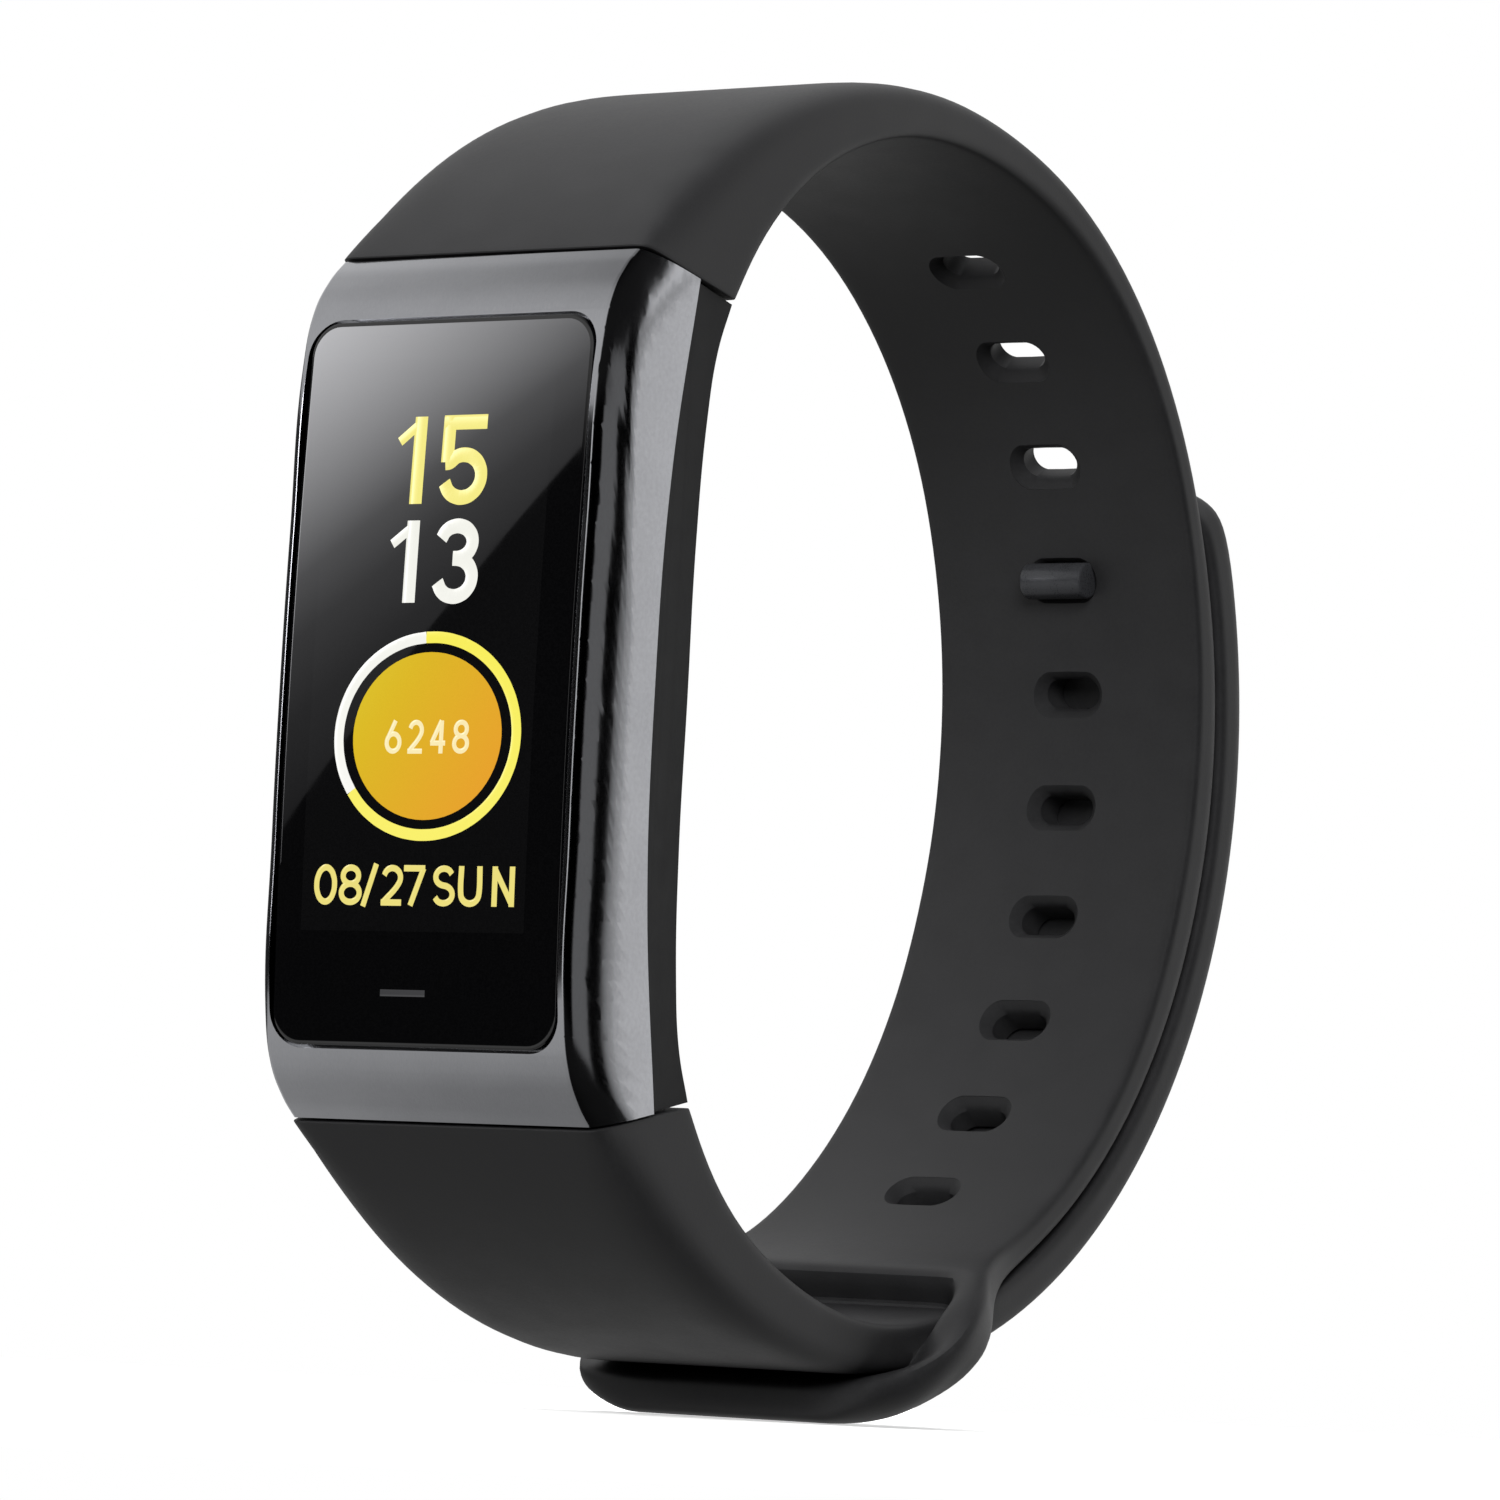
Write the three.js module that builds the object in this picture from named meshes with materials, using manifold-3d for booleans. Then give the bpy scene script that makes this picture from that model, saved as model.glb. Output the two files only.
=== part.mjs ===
// Fitness tracker band: a curved display module on a two-part silicone wristband that closes in a
// ring. The upper strap carries ten oblong holes and ends in a moulded loop; the lower strap runs
// through the loop, up the outside of the upper strap, and is held by a stud in one of the holes.
// Units are millimetres. +X runs across the wrist, +Z up the length of the module, and +Y from the
// screen towards the wrist. The pieces are laid out with y = 0 at the front of the glass, and the
// whole band is then moved so that the origin is at the middle of the skin side of the sensor window.
import * as THREE from 'three';
import { mergeVertices } from 'three/addons/utils/BufferGeometryUtils.js';
import Module from 'manifold-3d';

// ---- driving dimensions ----
const moduleDepth = 10.0; // front of the glass to the skin side of the sensor window
const moduleHalfLength = 22.45; // middle of the module to its end seam, at the front edge
const moduleHalfWidth = 10.3;
const seamFrontY = 3.3; // depth of the end seam at its front edge
const seamBackY = 11.3; // depth of the end seam at its skin edge
const seamBackZ = 20.7; // height of the end seam at its skin edge
const ringY = 29.7; // centre of the ring that the closed band makes
const ringZ = 1.8;
const tailOuterRadius = 35.9; // outside of the lower strap, all the way round
const strapThickness = 2.4;
const gap = 0.3; // clearance between neighbouring pieces
const strapHalfWidthAtModule = 10.1;
const strapHalfWidthAtBack = 8.85;
const taperFromY = 8;
const taperToY = 44;
const strapEdgeRound = 0.7; // edges on the skin side
const shoulderRound = 3.2; // most that the outer edges are rounded, beside the module
const holeCount = 10;
const holeLength = 4.65; // across the strap
const holeHeight = 2.9; // along the strap
const firstHoleAngle = 55.6; // degrees above the ring's middle
const holePitchAngle = 12.2;
const studHole = 4; // the hole that the stud sits in, counted from the top
const tailTipAngle = 27;
const loopHalfWidth = 12.2;
const loopLegThickness = 2.5;
const loopBarThickness = 2.4;
const loopCornerRadius = 4;
const glassHalfWidth = 9.1;
const glassHalfLength = 18.75;
const glassThickness = 1.1;
const coverSkinY = 9.2; // skin side of the back cover at its middle

// ---- sizes worked out from them ----
const tailInnerRadius = tailOuterRadius - strapThickness;
const upperOuterRadius = tailInnerRadius - gap;
const barInnerRadius = tailOuterRadius + gap;
const barOuterRadius = barInnerRadius + loopBarThickness;
const loopWindowHalfWidth = loopHalfWidth - loopLegThickness;
const studAngle = firstHoleAngle - holePitchAngle * (studHole - 1);

// ---- building helpers ----
const wasm = await Module();
wasm.setup();

function toSolid(geometry) {
  const bare = geometry.clone();
  bare.deleteAttribute('normal');
  bare.deleteAttribute('uv');
  const merged = mergeVertices(bare, 1e-4);
  return new wasm.Manifold(
    new wasm.Mesh({
      numProp: 3,
      vertProperties: new Float32Array(merged.attributes.position.array),
      triVerts: new Uint32Array(merged.index.array),
    }),
  );
}

function toGeometry(solid) {
  const mesh = solid.getMesh();
  const geometry = new THREE.BufferGeometry();
  geometry.setAttribute('position', new THREE.BufferAttribute(mesh.vertProperties, 3));
  geometry.setIndex(new THREE.BufferAttribute(mesh.triVerts, 1));
  return geometry;
}

const cut = (geometry, ...tools) =>
  toGeometry(tools.reduce((solid, tool) => solid.subtract(toSolid(tool)), toSolid(geometry)));
const join = (geometry, ...others) =>
  toGeometry(others.reduce((solid, other) => solid.add(toSolid(other)), toSolid(geometry)));
const common = (geometry, other) => toGeometry(toSolid(geometry).intersect(toSolid(other)));

const radians = (degrees) => THREE.MathUtils.degToRad(degrees);
const point = (a, b) => new THREE.Vector2(a, b);
const ringPoint = (angle, radius) =>
  point(ringY + radius * Math.cos(radians(angle)), ringZ + radius * Math.sin(radians(angle)));

// A side outline, given as (y, z) points, made into a solid that reaches halfWidth to each side.
function acrossStrap(outline, halfWidth, round = 0, roundSteps = 2) {
  const geometry = new THREE.ExtrudeGeometry(new THREE.Shape(outline), {
    depth: 2 * (halfWidth - round),
    bevelEnabled: round > 0,
    bevelThickness: round,
    bevelSize: round,
    bevelOffset: -round,
    bevelSegments: roundSteps,
    curveSegments: 6,
  });
  geometry.translate(0, 0, -(halfWidth - round));
  const turn = new THREE.Matrix4().makeBasis(
    new THREE.Vector3(0, 1, 0),
    new THREE.Vector3(0, 0, 1),
    new THREE.Vector3(1, 0, 0),
  );
  return geometry.applyMatrix4(turn);
}

// A front outline, drawn as an (x, z) shape, made into a slab from depth yFront to yBack.
function slabFrom(shape, yFront, yBack, curveSegments = 6) {
  const depth = yBack - yFront;
  const geometry = new THREE.ExtrudeGeometry(shape, { depth, bevelEnabled: false, curveSegments });
  return geometry.rotateX(Math.PI / 2).translate(0, yBack, 0);
}

function roundedRectangle(halfWidth, halfHeight, radius, x = 0, z = 0) {
  const shape = new THREE.Shape();
  const corners = [
    [x + halfWidth - radius, z + halfHeight - radius, 0],
    [x - halfWidth + radius, z + halfHeight - radius, 0.5],
    [x - halfWidth + radius, z - halfHeight + radius, 1],
    [x + halfWidth - radius, z - halfHeight + radius, 1.5],
  ];
  for (const [cornerX, cornerZ, turn] of corners) {
    shape.absarc(cornerX, cornerZ, radius, turn * Math.PI, (turn + 0.5) * Math.PI, false);
  }
  shape.closePath();
  return shape;
}

const slab = (halfWidth, halfHeight, radius, yFront, yBack, x = 0, z = 0) =>
  slabFrom(roundedRectangle(halfWidth, halfHeight, radius, x, z), yFront, yBack, 4);

const rod = (radius, yFront, yBack, x = 0, z = 0, sides = 20) =>
  new THREE.CylinderGeometry(radius, radius, yBack - yFront, sides).translate(
    x,
    (yFront + yBack) / 2,
    z,
  );

// Radius against angle round the ring, smooth through the given [angle, radius] pairs.
function ringLine(pairs, steps) {
  const curve = new THREE.CatmullRomCurve3(
    pairs.map(([angle, radius]) => new THREE.Vector3(angle, radius, 0)),
    false,
    'centripetal',
  );
  return curve.getSpacedPoints(steps).map((sample) => ringPoint(sample.x, sample.y));
}

const ringArc = (radius, fromAngle, toAngle, steps) =>
  Array.from({ length: steps + 1 }, (_, i) =>
    ringPoint(fromAngle + ((toAngle - fromAngle) * i) / steps, radius),
  );

function strapHalfWidth(y) {
  const along = THREE.MathUtils.smoothstep(y, taperFromY, taperToY);
  return THREE.MathUtils.lerp(strapHalfWidthAtModule, strapHalfWidthAtBack, along);
}

// The four rounded corners of a strap's section, as [x, height above the inner face] pairs.
function strapSection(halfWidth, thickness, outerRound, innerRound) {
  const corners = [
    [halfWidth - outerRound, thickness - outerRound, outerRound, 0],
    [-halfWidth + outerRound, thickness - outerRound, outerRound, 90],
    [-halfWidth + innerRound, innerRound, innerRound, 180],
    [halfWidth - innerRound, innerRound, innerRound, 270],
  ];
  return corners.flatMap(([x, height, radius, turn]) =>
    [0, 30, 60, 90].map((step) => [
      x + radius * Math.cos(radians(turn + step)),
      height + radius * Math.sin(radians(turn + step)),
    ]),
  );
}

// A closed strap between an outer and an inner line of the same number of (y, z) points.
function strapBetween(outer, inner) {
  const corners = strapSection(1, 1, 0.1, 0.1).length;
  const positions = [];
  outer.forEach((outerPoint, i) => {
    const across = outerPoint.clone().sub(inner[i]);
    const thickness = across.length();
    across.normalize();
    const outerRound = Math.min(0.36 * thickness, shoulderRound);
    const innerRound = Math.min(0.3 * thickness, strapEdgeRound);
    const halfWidth = strapHalfWidth(outerPoint.x);
    for (const [x, height] of strapSection(halfWidth, thickness, outerRound, innerRound)) {
      positions.push(x, inner[i].x + across.x * height, inner[i].y + across.y * height);
    }
  });
  const faces = [];
  for (let i = 0; i + 1 < outer.length; i += 1) {
    for (let k = 0; k < corners; k += 1) {
      const here = i * corners + k;
      const beside = i * corners + ((k + 1) % corners);
      faces.push(here, here + corners, beside, beside, here + corners, beside + corners);
    }
  }
  const lastRing = (outer.length - 1) * corners;
  for (let k = 1; k + 1 < corners; k += 1) {
    faces.push(0, k, k + 1, lastRing, lastRing + k + 1, lastRing + k);
  }
  const geometry = new THREE.BufferGeometry();
  geometry.setAttribute('position', new THREE.Float32BufferAttribute(positions, 3));
  geometry.setIndex(faces);
  return geometry;
}

// Turns a shape built about the origin, with its depth along +Y, to stand on the ring at an angle.
function placeOnRing(geometry, angle, radius) {
  const spot = ringPoint(angle, radius);
  return geometry.rotateX(radians(angle)).translate(0, spot.x, spot.y);
}

const finish = (color, roughness, metalness = 0) =>
  new THREE.MeshStandardMaterial({ color, roughness, metalness });

const band = new THREE.Group();
band.position.y = -moduleDepth;

function piece(name, geometry, material) {
  const mesh = new THREE.Mesh(geometry, material);
  mesh.name = name;
  band.add(mesh);
}

// ---- colours and finishes ----
const silicone = () => finish(0x2b2b2c, 0.62);
const gunmetal = () => finish(0x6f7073, 0.22, 0.9);
const blackGlass = () => finish(0x060607, 0.06);
const blackPlastic = () => finish(0x1b1b1d, 0.5);
const steel = () => finish(0xa8abb0, 0.3, 1);
const gold = () => finish(0xc9a24a, 0.3, 1);
const boardGreen = () => finish(0x17422c, 0.55);
const foam = () => finish(0x242424, 0.9);

// ---- outline of the module, seen from the side ----
const seamFront = point(seamFrontY, moduleHalfLength);
const seamBack = point(seamBackY, seamBackZ);
const frameCoverLineMiddleY = 5.7; // depth of the line between frame and back cover, mid module
const frameCoverLineEndY = 7.7;

// A point on the end seam at depth y, with its height drawn back by some clearance.
function seamAt(y, back = 0) {
  const along = (y - seamFront.x) / (seamBack.x - seamFront.x);
  return point(y, THREE.MathUtils.lerp(seamFront.y, seamBack.y, along) - back);
}

// Draws a line for the upper half, from its middle point up, and mirrors it to the lower half.
const mirrored = (upper) => [
  ...upper.slice(1).reverse().map((p) => point(p.x, -p.y)),
  ...upper,
];

const smooth = (points, steps) => new THREE.SplineCurve(points).getPoints(steps);

const frontLine = () => smooth(mirrored([
  point(0.0, 0), point(0.1, 8), point(0.4, 17), point(1.1, 19.7), point(2.2, 21.3), seamFront,
]), 28);
const frameCoverLine = (shift = 0) => smooth(mirrored([
  point(frameCoverLineMiddleY + shift, 0),
  point(frameCoverLineMiddleY + 0.4 + shift, 11),
  seamAt(frameCoverLineEndY + shift),
]), 12);
const skinLine = () => smooth(mirrored([
  point(coverSkinY, 0), point(coverSkinY, 8), point(coverSkinY + 0.4, 14.5),
  point(coverSkinY + 1.0, 18), seamBack,
]), 24);

// ---- module shell ----
const cavityHalfWidth = 9.0;
const cavityHalfLength = 20.3;
const lipFrontY = 1.6;
const lipBackY = 2.4;
const frontFlatHalfWidth = 9.4; // the front corners of the frame are rounded outside this
const tongueHalfWidth = 6.5;
const tongueFrontY = 4.6;
const tongueBackY = 6.6;

function moduleSection() {
  const shape = new THREE.Shape();
  const sideY = 3.4; // depth at which the rounded sides reach the full width
  shape.moveTo(-frontFlatHalfWidth, -0.5);
  shape.lineTo(frontFlatHalfWidth, -0.5);
  shape.lineTo(frontFlatHalfWidth, 0);
  shape.quadraticCurveTo(moduleHalfWidth, 0.5, moduleHalfWidth, sideY);
  shape.lineTo(moduleHalfWidth, seamBackY + 1);
  shape.lineTo(-moduleHalfWidth, seamBackY + 1);
  shape.lineTo(-moduleHalfWidth, sideY);
  shape.quadraticCurveTo(-moduleHalfWidth, 0.5, -frontFlatHalfWidth, 0);
  shape.closePath();
  const height = 2 * moduleHalfLength + 4;
  return new THREE.ExtrudeGeometry(shape, { depth: height, bevelEnabled: false, curveSegments: 5 })
    .translate(0, 0, -height / 2);
}

const tongueSlot = (side) =>
  slab(tongueHalfWidth + gap, 2, 0.6, tongueFrontY - gap, tongueBackY + gap, 0, side * 21.6);

function bezelFrame() {
  const outline = [...frontLine(), ...frameCoverLine().reverse()];
  const body = common(acrossStrap(outline, moduleHalfWidth), moduleSection());
  return cut(
    body,
    slab(glassHalfWidth + 0.15, glassHalfLength + 0.15, 1.9, -1, lipFrontY),
    slab(8.2, 17.2, 1, 0, 4),
    slab(cavityHalfWidth, cavityHalfLength, 1.2, lipBackY, 12),
    tongueSlot(1),
    tongueSlot(-1),
  );
}

function coverGlass() {
  const blank = slab(glassHalfWidth, glassHalfLength, 1.8, -1, glassThickness);
  const crown = acrossStrap([...frontLine(), point(4, 22), point(4, -22)], moduleHalfWidth);
  return common(blank, crown);
}

const screwX = 7.8;
const screwZ = 14.5;
const caseScrewSpots = [
  [screwX, screwZ], [-screwX, screwZ], [screwX, -screwZ], [-screwX, -screwZ],
];
const anchorScrewX = 4;
const anchorScrewZ = 18.9;
const contactX = 2.6;
const contactZ = -13.5;
const contactRadius = 1.2;
const sensorRadius = 4.7;

function backCover() {
  const outline = [...frameCoverLine(gap), ...skinLine().reverse()];
  const raisedRing = rod(6.6, coverSkinY - 0.4, coverSkinY + 0.4, 0, 0, 36);
  const shell = join(
    common(acrossStrap(outline, moduleHalfWidth - 0.2, 0), moduleSection()),
    raisedRing,
  );
  const pockets = caseScrewSpots.map(([x, z]) => rod(1.3, 8.2, 12, x, z, 16));
  const bores = caseScrewSpots.map(([x, z]) => rod(0.75, 7, 12, x, z, 12));
  const pads = [-contactX, contactX].map((x) => rod(contactRadius + 0.1, 7, 12, x, contactZ, 20));
  return cut(
    shell,
    slab(8.9, 19.9, 1.2, 0, 8.0),
    rod(sensorRadius + 0.15, 7, 12, 0, 0, 32),
    ...pockets,
    ...bores,
    ...pads,
    tongueSlot(1),
    tongueSlot(-1),
  );
}

function caseScrew([x, z]) {
  return join(rod(1.0, 8.3, 9.1, x, z, 16), rod(0.45, 4.6, 8.5, x, z, 12));
}

function buildShell() {
  piece('bezel_frame', bezelFrame(), gunmetal());
  piece('cover_glass', coverGlass(), blackGlass());
  const ring = roundedRectangle(glassHalfWidth - 0.1, glassHalfLength - 0.1, 1.7);
  ring.holes.push(roundedRectangle(8.3, 17.3, 1));
  piece('glass_gasket', slabFrom(ring, glassThickness + 0.1, lipFrontY - 0.1, 4), foam());
  piece('back_cover', backCover(), blackPlastic());
  const seal = roundedRectangle(8.8, 17.0, 1);
  seal.holes.push(roundedRectangle(8.4, 16.6, 0.6));
  piece('back_seal', slabFrom(seal, 7.45, 7.85, 3), foam());
  caseScrewSpots.forEach((spot, i) => piece(`case_screw_${i + 1}`, caseScrew(spot), steel()));
  piece('sensor_window', rod(sensorRadius, 8.3, moduleDepth, 0, 0, 32), blackGlass());
  piece('charge_contact_left', rod(contactRadius, 8.2, 9.35, -contactX, contactZ, 20), gold());
  piece('charge_contact_right', rod(contactRadius, 8.2, 9.35, contactX, contactZ, 20), gold());
}

// ---- inside the module ----
const chassisFrontY = 3.0;
const chassisBackY = 3.6;
const motorZ = -13.0;
const motorRadius = 4.0;

function midChassis() {
  const plate = slab(8.7, 20.0, 1, chassisFrontY, chassisBackY);
  const bosses = caseScrewSpots.map(([x, z]) => rod(0.95, chassisBackY - 0.1, 7.3, x, z, 14));
  const bores = caseScrewSpots.map(([x, z]) => rod(0.6, 4.0, 8, x, z, 10));
  const anchorHoles = [-1, 1].flatMap((side) =>
    [-anchorScrewX, anchorScrewX].map((x) => rod(0.8, 2, 5, x, side * anchorScrewZ, 12)),
  );
  return cut(join(plate, ...bosses), ...bores, ...anchorHoles, slab(2.9, 0.6, 0.3, 2, 5, 0, -16.9));
}

// The ribbon that leaves the foot of the display, passes the chassis and meets the battery's end.
function displayFlex() {
  const outline = [
    point(2.1, -16.8), point(4.1, -16.8), point(4.1, -17.0), point(1.9, -17.0), point(1.9, -15.75),
    point(2.1, -15.75),
  ];
  return acrossStrap(outline, 2.5);
}

function motorCan() {
  const outer = rod(motorRadius, 4.1, 6.8, 0, motorZ, 28);
  const inner = rod(motorRadius - 0.3, 4.4, 8, 0, motorZ, 28);
  return cut(outer, inner);
}

// Eccentric weight: a half disc on a hub, with a hole for the shaft.
function motorRotor() {
  const shape = new THREE.Shape();
  shape.absarc(0, 0, motorRadius - 0.7, 0.08 * Math.PI, 0.92 * Math.PI, false);
  shape.absarc(0, 0, 1.1, Math.PI, 2 * Math.PI, false);
  shape.closePath();
  const shaftHole = new THREE.Path();
  shaftHole.absarc(0, 0, 0.6, 0, 2 * Math.PI, true);
  shape.holes.push(shaftHole);
  return slabFrom(shape, 4.8, 6.0, 8).translate(0, 0, motorZ);
}

// Plain blocks inside the module: half width, half height, corner radius, front and back depth,
// and the x and z of the middle.
const blocks = [
  ['display_panel', [7.95, 15.7, 0.6, 1.3, 2.6, 0, 0.1], () => finish(0x0b0c10, 0.2)],
  ['display_shield', [7.95, 15.5, 0.6, 2.7, 2.9, 0, 0.2], steel],
  ['battery_foam', [5.9, 8.2, 0.5, 3.7, 4.0, 0, 0], foam],
  ['battery_cell', [6.4, 8.6, 0.9, 4.1, 6.9, 0, 0], () => finish(0xb9bcc0, 0.4, 0.6)],
  ['main_board', [6.6, 4.1, 0.5, 5.0, 5.6, 0, 13.0], boardGreen],
  ['shield_can', [5.4, 3.1, 0.3, 3.9, 4.9, -0.6, 13.0], steel],
  ['accelerometer_chip', [1.5, 1.5, 0.1, 5.7, 6.5, 3.4, 13.6], () => finish(0x111111, 0.5)],
  ['antenna_strip', [0.15, 6.5, 0.05, 4.0, 6.6, 8.4, 0], gold],
  ['motor_base', [3.4, 3.4, 3.3, 6.45, 6.75, 0, motorZ], boardGreen],
  ['sensor_board', [5.2, 5.2, 0.8, 7.05, 7.45, 0, 0], boardGreen],
  ['sensor_led_left', [0.8, 0.9, 0.1, 7.5, 7.85, -2.9, 0], () => finish(0x1f9a4b, 0.3)],
  ['sensor_led_right', [0.8, 0.9, 0.1, 7.5, 7.85, 2.9, 0], () => finish(0x1f9a4b, 0.3)],
  ['photodiode', [0.9, 1.1, 0.1, 7.5, 7.85, 0, 0], () => finish(0x23262b, 0.2)],
];

// Keeps the light of the two emitters away from the receiver between them.
function lightBarrier() {
  const shape = roundedRectangle(4.4, 2.6, 0.4);
  for (const x of [-2.9, 0, 2.9]) {
    shape.holes.push(roundedRectangle(1.2, 1.4, 0.1, x, 0));
  }
  return slabFrom(shape, 7.5, 7.9, 2);
}

function buildInside() {
  for (const [name, sizes, material] of blocks) {
    piece(name, slab(...sizes), material());
  }
  piece('mid_chassis', midChassis(), blackPlastic());
  piece('display_flex', displayFlex(), finish(0x8a5a1c, 0.5));
  piece('motor_can', motorCan(), steel());
  piece('motor_shaft', rod(0.4, 4.5, 6.35, 0, motorZ, 14), steel());
  piece('motor_rotor', motorRotor(), finish(0x75777a, 0.4, 1));
  piece('light_barrier', lightBarrier(), blackPlastic());
}

// ---- straps ----
function strapTongue(side) {
  const middleZ = side * 20.5;
  const blank = slab(tongueHalfWidth, 2.8, 0.5, tongueFrontY, tongueBackY, 0, middleZ);
  return cut(
    blank,
    rod(0.8, 4, 8, -anchorScrewX, side * anchorScrewZ, 12),
    rod(0.8, 4, 8, anchorScrewX, side * anchorScrewZ, 12),
  );
}

// The ends of a strap's outer and inner lines at the module stand just clear of the end seam.
const seamOuter = (side) => angleAndRadius(seamFront.x, side * (seamFront.y + gap));
const seamInner = (side) => angleAndRadius(seamBack.x, side * (seamBack.y + gap));

function angleAndRadius(y, z) {
  const angle = THREE.MathUtils.radToDeg(Math.atan2(z - ringZ, y - ringY));
  return [angle, Math.hypot(y - ringY, z - ringZ)];
}

const strapSteps = 50;

function upperStrapStrip() {
  const outer = ringLine([
    seamOuter(1), [128, 33.5], [111, 33.3], [95, 33.3], [78, 33.5], [60, 33.95], [46, 33.8],
    [32, 33.45], [22, upperOuterRadius], [0, upperOuterRadius], [-40, upperOuterRadius],
    [-75, upperOuterRadius],
  ], strapSteps);
  const inner = ringLine([
    seamInner(1), [130, 27.1], [121, 28.35], [111, 29.3], [95, 30.3], [78, 31.0], [60, 31.8],
    [46, 31.95], [32, 31.7], [19, 31.2], [0, 30.8], [-17, 30.75], [-42, 31.3], [-60, 31.6],
    [-75, 31.4],
  ], strapSteps);
  return strapBetween(outer, inner);
}

function holeCutter(angle) {
  const shape = roundedRectangle(holeLength / 2, holeHeight / 2, holeHeight / 2 - 0.05);
  return placeOnRing(slabFrom(shape, -4, 4, 5), angle, upperOuterRadius - 1);
}

// Seen from above, the loop narrows back to the width of the strap behind its legs.
function loopPlan() {
  const narrowFromY = 38.5;
  const narrowToY = 44.5;
  const right = [
    point(loopHalfWidth, 20), point(loopHalfWidth, narrowFromY),
    point(strapHalfWidthAtBack, narrowToY),
  ];
  const left = right.map((corner) => point(-corner.x, corner.y)).reverse();
  const height = 40;
  return new THREE.ExtrudeGeometry(new THREE.Shape([...right, ...left]), {
    depth: height,
    bevelEnabled: false,
  }).translate(0, 0, -height - 20);
}

// The loop at the end of the upper strap: two legs that pass outside the lower strap, and a bar
// across its outer face.
function strapLoop() {
  const legOutline = [
    ringPoint(-63, 31.6), point(38.0, -28.3), point(36.0, -30.4), point(30.6, -33.9),
    point(29.6, -35.0), point(29.9, -36.4), point(31.0, -36.8), point(33.2, -36.5),
    point(36.6, -34.4), point(40.2, -31.4), ringPoint(-64, upperOuterRadius),
  ];
  const passage = [
    ...ringArc(barInnerRadius, -104, -48, 20),
    ...ringArc(upperOuterRadius, -48, -75, 12),
    point(38.0, -28.3),
    point(38.0, -20),
    point(18, -20),
  ];
  const frontHalfHeight = 15;
  const middleZ = ringZ - barOuterRadius + frontHalfHeight;
  const corners = roundedRectangle(loopHalfWidth, frontHalfHeight, loopCornerRadius, 0, middleZ);
  const rounded = common(acrossStrap(legOutline, loopHalfWidth, 0.5, 1), slabFrom(corners, 20, 60));
  return cut(common(rounded, loopPlan()), acrossStrap(passage, loopWindowHalfWidth));
}

function upperStrap() {
  const holes = Array.from({ length: holeCount }, (_, i) =>
    holeCutter(firstHoleAngle - holePitchAngle * i),
  );
  return cut(join(upperStrapStrip(), strapTongue(1), strapLoop()), ...holes);
}

// The living hinge of the tail lies on the line that the stud leaves its hole at right angles to,
// where that line meets the outer face of the strap.
const studMidRadius = upperOuterRadius - strapThickness / 2;
const peelReach = Math.sqrt(tailOuterRadius ** 2 - studMidRadius ** 2);
const peelAngle = studAngle - THREE.MathUtils.radToDeg(Math.atan2(peelReach, studMidRadius));
const halfGapAngle = THREE.MathUtils.radToDeg(gap / 2 / tailOuterRadius);

function lowerStrap() {
  const splitAngle = peelAngle - halfGapAngle;
  const outer = ringLine([
    [splitAngle, tailOuterRadius], [-50, tailOuterRadius], [-100, tailOuterRadius],
    [-130, tailOuterRadius], seamOuter(-1),
  ], strapSteps);
  const inner = ringLine([
    [splitAngle, tailInnerRadius], [-50, tailInnerRadius], [-76, tailInnerRadius], [-88, 33.15],
    [-96, 32.7], [-105, 32.1], [-114, 31.5], [-122, 30.5], seamInner(-1),
  ], strapSteps);
  return join(strapBetween(outer, inner), strapTongue(-1));
}

function strapTip() {
  const splitAngle = peelAngle + halfGapAngle;
  const roundedEnd = [[0, 0.9, 0.35], [0.5, 1.65, 0.1], [1.4, 2.15, 0]];
  const endPoints = (column) =>
    roundedEnd.map((row) => ringPoint(tailTipAngle - row[0], tailInnerRadius + row[column]));
  const straightFrom = tailTipAngle - 2.6;
  const outer = [...endPoints(1), ...ringArc(tailOuterRadius, straightFrom, splitAngle, 14)];
  const inner = [...endPoints(2), ...ringArc(tailInnerRadius, straightFrom, splitAngle, 14)];
  const studSocket = placeOnRing(slab(1.3, 0.9, 0.3, -1, 4), studAngle, tailInnerRadius);
  const capRecess = placeOnRing(rod(3.1, -0.9, 3), studAngle, tailOuterRadius);
  return cut(strapBetween(outer, inner), studSocket, capRecess);
}

// The stud: an oblong post through the hole, with a barrel-shaped head across the strap.
const studHeadRadius = 1.05;
const studHeadLength = 4.1;

function claspStud() {
  const headY = -(upperOuterRadius - 30.9) - gap - 0.1;
  const post = slab(1.0, 0.6, 0.2, headY, 1.5);
  const barrel = new THREE.CylinderGeometry(studHeadRadius, studHeadRadius, studHeadLength, 20)
    .rotateZ(Math.PI / 2)
    .translate(0, headY, 0);
  return placeOnRing(join(post, barrel), studAngle, tailInnerRadius);
}

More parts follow.
